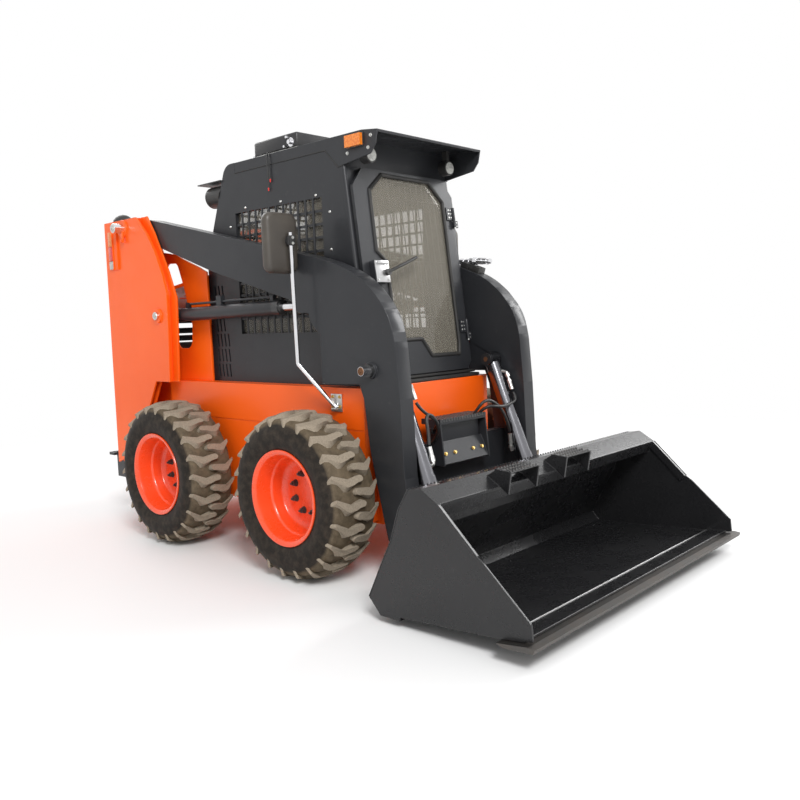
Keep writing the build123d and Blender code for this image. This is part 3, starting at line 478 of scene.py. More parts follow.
def makeTyre(wheel, centre, side):
    bm = bmesh.new()
    wall = tyre["wall"]
    lathe(bm, wall + tuple((-x, radius) for x, radius in wall[-2::-1]), tyre["steps"])
    tread = bm.verts.layers.float.new("tread")
    for vert in bm.verts:
        vert[tread] = 0.5 if math.hypot(vert.co.y, vert.co.z) > tyre["treadFrom"] else 0.0
    for row, start in ((-1, 0), (1, 0.5)):
        for lug in range(tyre["lugs"]):
            addLug(bm, tread, row, (lug + start) * math.tau / tyre["lugs"])
    toAxle(bm, side, centre)
    keep(bm, f"tyreTread_{wheel}", "tyre", [f"tyre_{wheel}"], 40, f"wheel_{wheel}")


def makeRim(wheel, centre, side):
    bm = bmesh.new()
    lathe(bm, rim["profile"], rim["steps"])
    lathe(bm, rim["back"], rim["steps"])
    bmesh.ops.remove_doubles(bm, verts=bm.verts, dist=0.0001)
    toAxle(bm, side, centre)
    keep(bm, f"rimDish_{wheel}", "rim", [f"rim_{wheel}"], 30, f"wheel_{wheel}")
    bm = bmesh.new()
    for nut in range(rim["nuts"]):
        turn = (nut + 0.5) * math.tau / rim["nuts"]
        reach = rim["nutCircle"]
        spot = Vector((rim["nutSeat"], reach * math.cos(turn), reach * math.sin(turn)))
        for depth, low, high, count in rim["nutStack"]:
            place = Matrix.Translation(spot + xAxis * (depth / 2)) @ Matrix.Rotation(math.pi / 2, 4, "Y")
            bmesh.ops.create_cone(bm, cap_ends=True, segments=count, radius1=low, radius2=high, depth=depth,
                                  matrix=place)
    toAxle(bm, side, centre)
    keep(bm, f"nutsDish_{wheel}", "iron", body=f"wheel_{wheel}")


for end, axleY in (("front", -tyre["wheelbase"] / 2), ("rear", tyre["wheelbase"] / 2)):
    for name, side in sides.items():
        centre = Vector((side * tyre["centreX"], axleY + datum.y, tyre["radius"]))
        makeTyre(f"{end}_{name}", centre, side)
        makeRim(f"{end}_{name}", centre, side)
print("wheels made")

plateEdge = 0.003  # the rounding of sheared and pressed plate
for name in ("arm_right", "arm_left", "tower_right", "tower_left", "bucket_shell", "chassis_tub", "chain_cases",
             "cab_roof", "door_frame", "engine_hood", "boom_cross", "roof_box", "rear_bumper"):
    soften(name, plateEdge)


# ---- door: seals, guard bars, latch and hinge screws

door = {
    "foot": (-0.825, 0.950), "lean": 0.12, "rise": 0.014,
    "glass": ((-0.172, 1.034), (-0.270, 0.952), (-0.272, 0.638), (-0.206, 0.582), (-0.206, 0.185),
              (-0.006, 0.185), (0.052, 0.092), (0.284, 0.092), (0.296, 0.150), (0.296, 0.930),
              (0.188, 1.030)),
    "leaf": ((-0.356, 0.002), (0.348, 0.002), (0.386, 0.045), (0.386, 0.968), (0.310, 1.060),
             (-0.310, 1.060), (-0.386, 0.968), (-0.386, 0.150), (-0.356, 0.105)),
    "seal": {"grow": 0.004, "out": -0.001, "radius": 0.0105},
    "gasket": {"share": 0.975, "rise": 0.012, "out": -0.0245, "radius": 0.006},
}
guard = {
    "first": -0.25, "last": 0.29, "pitch": 0.045, "past": 0.012, "radius": 0.003, "out": -0.0205,
    "rowOut": -0.0255, "rowEnd": 0.295,
    "rows": ((0.30, -0.205), (0.60, -0.262), (0.93, -0.262)),  # rise, near end
}
latch = {
    "place": (-0.290, 0.530),
    # across, up, out, size, edge
    "plates": ((0, 0, 0.0375, (0.098, 0.006, 0.110), 0.002),
               (-0.004, 0.045, 0.045, (0.07, 0.012, 0.018), 0.004)),
    "bolts": ((-0.038, -0.042), (0.038, -0.042), (-0.038, 0.04), (0.04, 0.04)),
    "boltOut": 0.0405, "boltSize": 0.0055,
    "hub": (0.03, -0.005), "hubOut": (0.036, 0.058), "hubRadius": 0.017,
    # the lever's bends: across, up, out
    "lever": ((0.03, -0.005, 0.052), (0.10, 0.022, 0.058), (0.17, 0.045, 0.056), (0.252, 0.075, 0.052)),
    "leverRadius": 0.0085,
}
hinge = {
    "x": 0.370, "knuckles": (0.205, 0.835), "screwOut": 0.010, "pin": (-0.046, -0.0405, 0.012, 0.006),
    "leafRises": (0.014, 0.035, 0.056), "leafScrews": ((-0.040, 0.006), (-0.022, 0.0045)),
    "frameRises": (-0.032, -0.012), "frameScrew": (0.022, 0.0045),
}
slope = Vector((0, door["lean"], 1)).normalized()
outward = Vector((0, -slope.z, slope.y))
leanTurn = Matrix((xAxis, -outward, slope)).transposed()


def onDoor(x, rise, out=0.0):
    foot = at(x, door["foot"][0], door["foot"][1])
    return foot + slope * (rise + door["rise"]) + outward * out


def onLatch(across, up, out):
    return onDoor(latch["place"][0] + across, latch["place"][1] + up, out)


def grown(outline, share):
    # an outline pushed outwards from its middle
    middleX = sum(x for x, z in outline) / len(outline)
    middleZ = sum(z for x, z in outline) / len(outline)
    return [(x + math.copysign(share, x - middleX), z + math.copysign(share, z - middleZ)) for x, z in outline]


def outlineSpan(outline, x):
    # the lowest and highest crossing of an upright line with an outline
    hits = []
    for (x0, z0), (x1, z1) in zip(outline, outline[1:] + outline[:1]):
        if (x0 - x) * (x1 - x) < 0:
            hits.append(z0 + (z1 - z0) * (x - x0) / (x1 - x0))
    return (min(hits), max(hits)) if hits else None


def loopStrip(name, body, outline, out, radius):
    # a closed rubber strip along an outline on the door's plane
    bm = bmesh.new()
    points = [onDoor(x, z, out) for x, z in outline]
    bead(bm, points + points[:2], radius, 12)
    keep(bm, name, "rubber", body=body)


seal, gasket = door["seal"], door["gasket"]
loopStrip("doorSeal", "cab_door", grown(door["glass"], seal["grow"]), seal["out"], seal["radius"])
gasketLine = [(x * gasket["share"], gasket["rise"] + z * gasket["share"]) for x, z in door["leaf"]]
loopStrip("weatherStrip", "chassis", gasketLine, gasket["out"], gasket["radius"])

bm = bmesh.new()
column = guard["first"]
while column < guard["last"]:
    span = outlineSpan(door["glass"], column)
    if span:
        roundBar(bm, onDoor(column, span[0] - guard["past"], guard["out"]),
                 onDoor(column, span[1] + guard["past"], guard["out"]), guard["radius"], 10)
    column += guard["pitch"]
for rise, nearEnd in guard["rows"]:
    roundBar(bm, onDoor(nearEnd, rise, guard["rowOut"]),
             onDoor(guard["rowEnd"], rise, guard["rowOut"]), guard["radius"], 10)
keep(bm, "doorGuard", "blackSteel", body="cab_door")

bm = bmesh.new()
for across, up, out, size, edge in latch["plates"]:
    slab(bm, onLatch(across, up, out), size, edge, leanTurn)
for across, up in latch["bolts"]:
    bolt(bm, onLatch(across, up, latch["boltOut"]), outward, latch["boltSize"])
keep(bm, "latchPlate", "palePlate", body="cab_door")
bm = bmesh.new()
roundBar(bm, *(onLatch(*latch["hub"], out) for out in latch["hubOut"]), latch["hubRadius"], 20)
lever = [onLatch(*bend) for bend in latch["lever"]]
bead(bm, lever, latch["leverRadius"], 12)
ball(bm, lever[-1], latch["leverRadius"])
keep(bm, "latchHandle", "blackPlastic", body="cab_door")

bm = bmesh.new()
for knuckle in hinge["knuckles"]:
    for up in hinge["leafRises"]:
        for across, size in hinge["leafScrews"]:
            panHead(bm, onDoor(hinge["x"] + across, knuckle + up, hinge["screwOut"]), outward, size)
keep(bm, "hingeScrews", "zinc", body="cab_door")
bm = bmesh.new()
pinLow, pinHigh, pinOut, pinRadius = hinge["pin"]
across, size = hinge["frameScrew"]
for knuckle in hinge["knuckles"]:
    roundBar(bm, onDoor(hinge["x"], knuckle + pinLow, pinOut),
             onDoor(hinge["x"], knuckle + pinHigh, pinOut), pinRadius, 14)
    for up in hinge["frameRises"]:
        panHead(bm, onDoor(hinge["x"] + across, knuckle + up, hinge["screwOut"]), outward, size)
keep(bm, "frameHingeScrews", "zinc")
print("door dressed")


# ---- cab: a sill seal with a black painted-shadow strip below it, roof seams and screws

cab = {
    "halfWidth": 0.406, "seam": ((0.235, 2.115), (-0.537, 2.115), (-0.628, 2.020), (-0.665, 2.024)),
    "seamRadius": 0.0032, "screwSize": 0.008, "visorScrewSize": 0.007,
    "screws": ((0.15, 1.912), (-0.165, 1.907), (-0.451, 1.904), (-0.553, 1.809), (0.300, 1.819), (0.300, 1.62),
               (-0.553, 1.62)),
    "visorScrews": ((-0.70, 2.075), (-0.845, 2.080), (-0.865, 2.135)),
    # the first slab is black painted shadow where the frame's sill is set back, the second is the rubber seal
    # under the door: middle, size, edge
    "sealAndShadowSlabs": (((0, -0.8345, 0.9312), (0.80, 0.062, 0.019), 0.005),
              ((0, -0.822, 0.9505), (0.79, 0.036, 0.013), 0.004)),
}
# one black rubber piece: the door's real seal, and below it a strip that paints the shade on the set-back sill
bm = bmesh.new()
for middle, size, edge in cab["sealAndShadowSlabs"]:
    slab(bm, at(*middle), size, edge)
keep(bm, "sillSealAndShadowStrip", "rubber")

bm = bmesh.new()
for side in sides.values():
    bead(bm, [at(side * cab["halfWidth"], y, z) for y, z in cab["seam"]], cab["seamRadius"], 8)
keep(bm, "roofSeams", "rubber")

bm = bmesh.new()
for side in sides.values():
    for y, z in cab["screws"]:
        panHead(bm, at(side * cab["halfWidth"], y, z), (side, 0, 0), cab["screwSize"])
    for y, z in cab["visorScrews"]:
        bolt(bm, at(side * cab["halfWidth"], y, z), (side, 0, 0), cab["visorScrewSize"])
keep(bm, "cabScrews", "zinc")


# ---- roof box: a condenser case with two fan guards, pipe ends and feet

roof = {
    "footHeight": 0.017, "caseEdge": 0.012, "tray": 0.008, "trayPast": 0.012, "trayEdge": 0.002,
    "footInset": (0.05, 0.04), "footSize": 0.03, "footEdge": 0.003,
    "fanX": 0.17, "rings": (0.125, 0.098, 0.071, 0.044), "ringBar": 0.0028, "spokes": 3, "spokeBar": 0.003,
    "port": (-0.004, 0.045, 0.030), "portRadii": (0.024, 0.012),
    "taps": ((0.042, -0.018), (0.022, 0.028)), "tapRadius": 0.007,
    "elbow": (0.004, -0.020, -0.008), "elbowRadii": (0.011, 0.008),
}
low, high = (Vector(corner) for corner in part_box("roof_box"))
middle, span = (low + high) / 2, high - low
caseLow = low.z + roof["footHeight"]
tray = roof["tray"]
bm = bmesh.new()
slab(bm, (middle.x, middle.y, (caseLow + high.z) / 2), (span.x, span.y, high.z - caseLow), roof["caseEdge"],
     segments=3)
keep(bm, "roofCase", "roofCase", ["roof_box"])
bm = bmesh.new()
slab(bm, (middle.x, middle.y, caseLow - tray / 2),
     (span.x + roof["trayPast"], span.y + roof["trayPast"], tray), roof["trayEdge"])
insetX, insetY = roof["footInset"]
for x in (low.x + insetX, high.x - insetX):
    for y in (low.y + insetY, high.y - insetY):
        slab(bm, (x, y, (low.z + caseLow) / 2 - tray / 4),
             (roof["footSize"], roof["footSize"], caseLow - low.z - tray / 2), roof["footEdge"])
keep(bm, "roofTray", "zinc")
bm = bmesh.new()
for x in (middle.x - roof["fanX"], middle.x + roof["fanX"]):
    for radius in roof["rings"]:
        ringBar(bm, (x, middle.y, high.z + 0.003), radius, roof["ringBar"])
    hub = Vector((x, middle.y, high.z + 0.004))
    for turn in range(roof["spokes"]):
        angle = turn * math.pi / roof["spokes"]
        spoke = Vector((math.cos(angle), math.sin(angle), 0)) * roof["rings"][0]
        roundBar(bm, hub - spoke, hub + spoke, roof["spokeBar"], 8)
keep(bm, "fanGuards", "blackPlastic")
bm = bmesh.new()
port = Vector((low.x, low.y, caseLow)) + Vector(roof["port"])
sleeve(bm, port, xAxis, 0.012, 0, roof["portRadii"][0], 28)
sleeve(bm, port, xAxis, 0, -0.018, roof["portRadii"][1], 20)
for dy, dz in roof["taps"]:
    sleeve(bm, port + Vector((0, dy, dz)), xAxis, 0.006, -0.016, roof["tapRadius"], 14)
elbow = Vector((low.x, high.y, caseLow)) + Vector(roof["elbow"])
sleeve(bm, elbow, xAxis, 0, -0.022, roof["elbowRadii"][0], 16)
bend = elbow - xAxis * 0.014
roundBar(bm, bend, bend + Vector((0, 0.026, -0.004)), roof["elbowRadii"][1], 16)
keep(bm, "roofPipeEnds", "chrome")
print("cab dressed")


# ---- lamps: lenses, bezels and tail lamps in three colours

lamp = {
    # across, along, up, radius, facing
    "round": ((0.306, -0.766, 2.071, 0.039, -1), (0.350, 0.530, 2.015, 0.062, 1)),
    "tailX": 0.600, "tailY": (1.252, 1.362), "tailZ": (1.636, 1.879), "flanges": (0.003, 0.056),
    "lensY": 0.029, "lensSize": (0.010, 0.046), "lensEdge": 0.003,
    # name, lowest and highest share of the tail lamp, finish
    "colours": (("tailAmber", 0.62, 1.0, "amber"), ("tailRed", 0.24, 0.61, "tail"),
                ("tailClear", 0.02, 0.23, "lampGlass")),
    "signal": (0.409, -0.758, 2.126), "signalSize": (0.006, 0.118, 0.066),
}
lenses, rims = bmesh.new(), bmesh.new()
for side in sides.values():
    for x, y, z, radius, facing in lamp["round"]:
        face, ahead = at(side * x, y, z), yAxis * facing
        sleeve(lenses, face, ahead, -0.004, 0.004, radius * 0.86, 40, radius * 0.80)
        sleeve(rims, face, ahead, -0.010, 0.001, radius * 1.02, 40, radius * 0.97)
keep(lenses, "lampLenses", "lampGlass")
keep(rims, "lampRims", "blackPlastic")

tailX, (yLow, yHigh), (zLow, zHigh) = lamp["tailX"], lamp["tailY"], lamp["tailZ"]
tall, middleZ = zHigh - zLow, (zLow + zHigh) / 2
for name, side in sides.items():
    bm = bmesh.new()
    slab(bm, at(side * (tailX + 0.003), (yLow + yHigh) / 2, middleZ), (0.006, yHigh - yLow, tall), 0.002)
    for flange in lamp["flanges"]:
        slab(bm, at(side * (tailX + 0.007), yLow + flange, middleZ), (0.012, 0.005, tall), 0.0015)
    keep(bm, f"tailBezel_{name}", "orange", ["tail_lamps"] if name == "right" else ())
    for label, lowest, highest, finish in lamp["colours"]:
        bm = bmesh.new()
        slab(bm, at(side * (tailX + 0.010), yHigh - lamp["lensY"], zLow + tall * (lowest + highest) / 2),
             (*lamp["lensSize"], tall * (highest - lowest)), lamp["lensEdge"])
        keep(bm, f"{label}_{name}", finish)

signalX, signalY, signalZ = lamp["signal"]
for name, side in sides.items():
    bm = bmesh.new()
    slab(bm, at(side * signalX, signalY, signalZ), lamp["signalSize"], 0.002)
    keep(bm, f"signalBase_{name}", "blackPlastic")
print("lamps dressed")


# ---- mirrors on chrome poles

mirror = {
    "middle": (0.650, -0.440, 1.650), "size": (0.200, 0.058, 0.300), "corner": 0.045, "puff": 0.024,
    "faceOut": 0.0285, "faceSize": (0.152, 0.003, 0.252), "faceCorner": 0.03,
    "pole": ((0.511, -0.650, 0.820), (0.618, -0.500, 1.046), (0.618, -0.486, 1.700)), "poleRadius": 0.011,
    "clamp": (0.618, -0.482, 1.660), "clampReach": 0.02, "clampRadius": 0.020, "clampBall": 0.022,
    "clampBolts": (-0.014, 0.014),
    "plate": (0.504, -0.650, 0.845), "plateSize": (0.008, 0.080, 0.090), "ledgeSize": (0.022, 0.040, 0.006),
    "plateBolts": ((-0.026, 0.030), (0.026, 0.030), (-0.026, -0.020), (0.026, -0.020)),
}


def roundedPlate(bm, middle, size, corner, edge=0.0):
    # an upright plate across Y with round corners; edge puffs its front and back rims
    verts = bmesh.ops.create_cube(bm, size=1)["verts"]
    bmesh.ops.scale(bm, vec=size, verts=verts)
    uprights = [link for link in bm.edges if abs(link.verts[0].co.y - link.verts[1].co.y) > size[1] / 2]
    roundEdges(bm, uprights, corner, 8)
    if edge:
        rims = [link for link in bm.edges if abs(link.verts[0].co.y - link.verts[1].co.y) < size[1] / 4
                and link.calc_face_angle(0) > 1]
        roundEdges(bm, rims, edge, 5)
    bmesh.ops.translate(bm, vec=middle, verts=bm.verts)


def atSide(side, place):
    # a place on one side of the machine, given for the left
    return at(side * place[0], place[1], place[2])


for name, side in sides.items():
    middle, clamp = atSide(side, mirror["middle"]), atSide(side, mirror["clamp"])
    plateX, plateY, plateZ = mirror["plate"]
    bm = bmesh.new()
    roundedPlate(bm, middle, mirror["size"], mirror["corner"], mirror["puff"])
    keep(bm, f"mirrorShell_{name}", "mirrorShell", ["mirrors"] if name == "right" else ())
    bm = bmesh.new()
    roundedPlate(bm, middle + yAxis * mirror["faceOut"], mirror["faceSize"], mirror["faceCorner"])
    keep(bm, f"mirrorFace_{name}", "mirrorFace")
    bm = bmesh.new()
    bead(bm, [atSide(side, bend) for bend in mirror["pole"]], mirror["poleRadius"], 20)
    keep(bm, f"mirrorPole_{name}", "chrome")
    bm = bmesh.new()
    sleeve(bm, clamp, zAxis, -mirror["clampReach"], mirror["clampReach"], mirror["clampRadius"], 24)
    ball(bm, clamp + yAxis * 0.012, mirror["clampBall"])
    slab(bm, clamp - yAxis * 0.018, (0.034, 0.008, 0.05), 0.003)
    keep(bm, f"mirrorClamp_{name}", "blackPlastic")
    bm = bmesh.new()
    slab(bm, at(side * plateX, plateY, plateZ), mirror["plateSize"], 0.002)
    slab(bm, at(side * (plateX + 0.012), plateY, plateZ - 0.030), mirror["ledgeSize"], 0.0015)
    for dz in mirror["clampBolts"]:
        bolt(bm, clamp + Vector((0, -0.022, dz)), (0, -1, 0), 0.006)
    keep(bm, f"mirrorPlate_{name}", "zinc")
    bm = bmesh.new()
    for dy, dz in mirror["plateBolts"]:
        bolt(bm, at(side * (plateX + 0.004), plateY + dy, plateZ + dz), (side, 0, 0), 0.007)
    keep(bm, f"mirrorBolts_{name}", "brass")
print("mirrors made")


# ---- tower domes, pin ends and pin collars

pin = {
    # (along, up), reach across, radius
    "boom": ((1.178, 1.886), 0.670, 0.030), "lift": ((0.827, 1.325), 0.622, 0.025), "tilt": (-0.945, 1.015),
    "keeperX": 0.616, "keeperSize": (0.008, 0.030, 0.075),
    # near, far, radius, sides, tip
    "collars": ((0.560, 0.574, 0.034, 36, 0.031), (0.353, 0.362, 0.034, 36, None)),
    "centres": ((0.3505, 0.3535, 0.013, 24, None), (0.615, 0.619, 0.021, 32, 0.018),
                (0.618, 0.623, 0.008, 16, 0.006)),
}
dome = {"x": 0.520, "y": 1.318, "z": 1.943, "radius": 0.0735, "height": 0.053, "narrow": 0.8, "cut": 1.9425}
bm = bmesh.new()
for side in sides.values():
    verts = bmesh.ops.create_uvsphere(bm, u_segments=40, v_segments=20, radius=dome["radius"])["verts"]
    bmesh.ops.scale(bm, vec=(dome["narrow"], 1, dome["height"] / dome["radius"]), verts=verts)
    bmesh.ops.translate(bm, vec=at(side * dome["x"], dome["y"], dome["z"]), verts=verts)
bmesh.ops.bisect_plane(bm, geom=bm.verts[:] + bm.edges[:] + bm.faces[:], plane_co=at(0, 0, dome["cut"]),
                       plane_no=zAxis, clear_inner=True)
bmesh.ops.holes_fill(bm, edges=[edge for edge in bm.edges if edge.is_boundary])
keep(bm, "towerDomes", "blackPlastic")

bm = bmesh.new()
for side in sides.values():
    for key in ("boom", "lift"):
        (y, z), reach, radius = pin[key]
        end, facing = at(side * reach, y, z), xAxis * side
        sleeve(bm, end, facing, -0.001, 0.004, radius, 32, radius * 0.86)
        bolt(bm, end + facing * 0.004, facing, radius * 0.33)
keep(bm, "pinEnds", "zinc")
bm = bmesh.new()
y, z = pin["boom"][0]
for side in sides.values():
    slab(bm, at(side * pin["keeperX"], y - 0.012, z - 0.052), pin["keeperSize"], 0.002)
    bolt(bm, at(side * (pin["keeperX"] + 0.004), y - 0.012, z - 0.078), (side, 0, 0), 0.009)
keep(bm, "pinKeepers", "orange")

for key, name, finish in (("collars", "tiltPinCollars", "blackSteel"), ("centres", "tiltPinEnds", "rust")):
    bm = bmesh.new()
    for side in sides.values():
        for near, far, radius, count, tip in pin[key]:
            roundBar(bm, at(side * near, *pin["tilt"]), at(side * far, *pin["tilt"]), radius, count, tip)
    keep(bm, name, finish, body="boom")


# ---- hydraulic couplers on the left arm

coupler = {
    "blocks": ((-0.722, 1.545), (-0.796, 1.517)), "blockX": 0.500, "blockSize": (0.062, 0.060, 0.040),
    "lean": 20,
    "places": ((0.485, -0.720), (0.515, -0.775), (0.485, -0.812)), "radius": 0.0135,
    # from the foot: near, far, radius, sides
    "rings": ((0.018, 0.040, 0.018, 6), (0.052, 0.070, 0.0185, 28), (0.073, 0.100, 0.0185, 28)),
    "cap": (-0.004, 0.010, 0.0165, 24, 0.0145),
}
bm = bmesh.new()
for y, z in coupler["blocks"]:
    slab(bm, at(coupler["blockX"], y, z), coupler["blockSize"], 0.004,
         Matrix.Rotation(math.radians(coupler["lean"]), 3, "X"))
keep(bm, "couplerBlocks", "blackPlastic", ["quick_couplers"], body="boom")
bm = bmesh.new()
for x, y in coupler["places"]:
    start, end = at(x, y + 0.060, 1.575), at(x + 0.040, y - 0.050, 1.562)
    run = (end - start).normalized()
    roundBar(bm, start, end, coupler["radius"], 24)
    for near, far, radius, count in coupler["rings"]:
        sleeve(bm, start, run, near, far, radius, count)
    sleeve(bm, end, run, *coupler["cap"])
keep(bm, "couplerBodies", "chrome", body="boom")


# ---- cylinders: gland rings

cylinder = {
    # (along, up) of the base pin, of the rod eye, across, length of the barrel, body, finish
    "tilt": ((-0.945, 1.015), (-1.212, 0.330), 0.404, 0.600, "tilt_barrels", "darkChrome"),
    "lift": ((0.827, 1.325), (-0.474, 1.341), 0.5005, 1.080, "lift_barrels", "blackSteel"),
}
barrelRadius = 0.0405
for key, (base, eye, x, length, body, finish) in cylinder.items():
    bm = bmesh.new()
    for side in sides.values():
        foot = at(side * x, *base)
        run = (at(side * x, *eye) - foot).normalized()
        sleeve(bm, foot, run, length - 0.046, length + 0.003, barrelRadius + 0.003, 40)
        sleeve(bm, foot, run, length + 0.003, length + 0.010, barrelRadius - 0.006, 40, barrelRadius - 0.010)
        sleeve(bm, foot, run, length * 0.12, length * 0.12 + 0.010, barrelRadius + 0.0015, 40)
    keep(bm, f"{key}Glands", finish, body=body)
print("pins, couplers and cylinders dressed")


# ---- step on the boom, the bucket's two step brackets and its welds

step = {
    "halfWidth": 0.182, "rows": (-1.045, -1.018, -0.991, -0.964), "columns": 13, "pitch": 0.029, "inset": 0.008,
    "top": 0.744, "studRadius": 0.007, "studTip": 0.004, "frontY": -1.0595,
    "teeth": 18, "toothFrom": -0.181, "toothPitch": 0.0213,
    "bolts": (-0.150, -0.075, 0.075, 0.150), "boltPlace": (-1.0575, 0.566), "boltFacing": (0, -0.91, 0.41),
}
bracket = {
    "middles": (-0.410, 0.030), "front": (-1.715, 0.600), "back": (-1.632, 0.606), "rows": (0.12, 0.5, 0.88),
    "teeth": 10, "toothFrom": -0.094, "toothPitch": 0.0209,
}
bm = bmesh.new()
for row, y in enumerate(step["rows"]):
    for column in range(step["columns"]):
        x = -step["halfWidth"] + step["inset"] + column * step["pitch"]
        x += step["pitch"] / 2 if row % 2 else 0
        if x < step["halfWidth"] - step["studTip"]:
            sleeve(bm, at(x, y, step["top"]), zAxis, -0.001, 0.004, step["studRadius"], 10,
                   step["studTip"])
for tooth in range(step["teeth"]):
    x = step["toothFrom"] + tooth * step["toothPitch"]
    sleeve(bm, at(x, step["frontY"], 0.730), zAxis, 0, 0.0175, step["studRadius"], 4, 0.003)
keep(bm, "stepStuds", "iron", body="boom")
bm = bmesh.new()
for x in step["bolts"]:
    bolt(bm, at(x, *step["boltPlace"]), step["boltFacing"], 0.008)
keep(bm, "stepBolts", "brass", body="boom")

bm = bmesh.new()
frontY, frontZ = bracket["front"]
backY, backZ = bracket["back"]
for middle in bracket["middles"]:
    for share in bracket["rows"]:
        y, z = frontY + (backY - frontY) * share, frontZ + (backZ - frontZ) * share
        for tooth in range(bracket["teeth"]):
            x = middle + bracket["toothFrom"] + tooth * bracket["toothPitch"]
            sleeve(bm, at(x, y, z), zAxis, -0.001, 0.007, 0.008, 4, 0.002)
keep(bm, "bracketTeeth", "iron", body="bucket")

welds = {
    "top": (-1.503, 0.5765), "from": -0.915, "to": 0.92, "pitch": 0.022, "lump": 0.0042,
    "sideX": 0.9275, "radius": 0.003, "edge": (-1.952, 0.0805), "edgeX": 0.916,
    "sides": (((-1.503, 0.575), (-1.448, 0.486), (-1.402, 0.355), (-1.346, 0.252), (-1.262, 0.090)),
              ((-1.656, 0.534), (-1.839, 0.360))),
}
bm = bmesh.new()
x = welds["from"]
while x < welds["to"]:
    ball(bm, at(x, *welds["top"]), welds["lump"], 1)
    x += welds["pitch"]
keep(bm, "channelWeld", "bucket", body="bucket")
bm = bmesh.new()
for side in sides.values():
    for run in welds["sides"]:
        bead(bm, [at(side * welds["sideX"], y, z) for y, z in run], welds["radius"], 8)
keep(bm, "sideWelds", "bucket", body="bucket")
bm = bmesh.new()
bead(bm, [at(side * welds["edgeX"], *welds["edge"]) for side in sides.values()], welds["radius"], 8)
keep(bm, "edgeWeld", "weld", body="bucket")
print("steps and welds made")


# ---- seat: pedestal, rails and two padded cushions

seat = {
    "base": {"middle": (0, 0.075, 0.712), "size": (0.460, 0.400, 0.110), "lean": 3},
    "back": {"middle": (0, 0.292, 1.045), "size": (0.440, 0.105, 0.570), "lean": -7},
    "crown": 0.38, "pull": 0.035, "channelAt": 0.62, "channelHalf": 0.1, "channelDepth": 0.93, "fill": 0.7,
}
levers = {"x": 0.290, "knob": (-0.340, 1.180), "knobRadius": 0.027, "rings": 7, "ringRadius": 0.0285,
             "ringFoot": (-0.3315, 1.075), "ringStep": (-0.0013, 0.014)}


def cushion(name, spec, thin, replaces=()):
    # a crowned closed cushion: sides pull in between the corners and a sewn channel runs round
    bm = bmesh.new()
    bmesh.ops.create_cube(bm, size=1)
    bmesh.ops.subdivide_edges(bm, edges=bm.edges[:], cuts=11, use_grid_fill=True)
    wide = [axis for axis in range(3) if axis != thin]
    for vert in bm.verts:
        first, second = (vert.co[axis] * 2 for axis in wide)
        pull = seat["pull"] * (1 - abs(vert.co[thin] * 2) ** 2)
        vert.co[thin] *= 1 - seat["crown"] + seat["crown"] * (1 - first ** 4) * (1 - second ** 4)
        vert.co[wide[0]] *= 1 - pull * (1 - second * second)
        vert.co[wide[1]] *= 1 - pull * (1 - first * first)
        seam = min(abs(abs(value) - seat["channelAt"]) for value in (first, second))
        if max(abs(first), abs(second)) < 0.7 and seam < seat["channelHalf"] and abs(vert.co[thin]) > 0.3:
            vert.co[thin] *= seat["channelDepth"]
    bmesh.ops.scale(bm, vec=spec["size"], verts=bm.verts)
    turn = Matrix.Rotation(math.radians(spec["lean"]), 4, "X")
    bmesh.ops.transform(bm, matrix=Matrix.Translation(at(*spec["middle"])) @ turn, verts=bm.verts)
    piece = keep(bm, name, "vinyl", replaces, 80)
    smooth = piece.modifiers.new("smooth", "SUBSURF")
    smooth.levels = smooth.render_levels = 1


cushion("seatCushion", seat["base"], 2, ["seat"])
cushion("backCushion", seat["back"], 1)
bm = bmesh.new()
slab(bm, at(0, 0.12, 0.445), (0.390, 0.350, 0.390), 0.02, segments=3)
slab(bm, at(0, 0.09, 0.648), (0.430, 0.420, 0.016), 0.005)
slab(bm, at(0, 0.352, 1.030), (0.400, 0.014, 0.520), 0.006,
     Matrix.Rotation(math.radians(seat["back"]["lean"]), 3, "X"))
keep(bm, "seatPedestal", "blackPlastic")
bm = bmesh.new()
for side in sides.values():
    x = side * levers["x"]
    ball(bm, at(x, *levers["knob"]), levers["knobRadius"])
    for ring in range(levers["rings"]):
        (footY, footZ), (stepY, stepZ) = levers["ringFoot"], levers["ringStep"]
        spot = at(x, footY + stepY * ring, footZ + stepZ * ring)
        roundBar(bm, spot, spot + Vector((0, -0.0005, 0.006)), levers["ringRadius"], 24)
    roundBar(bm, at(x, -0.300, 0.300), at(x, -0.303, 0.370), 0.040, 24, 0.018)
keep(bm, "leverGrips", "rubber")
print("seat made")


# ---- hoses from the boom to the tilt cylinders, and two cab wires

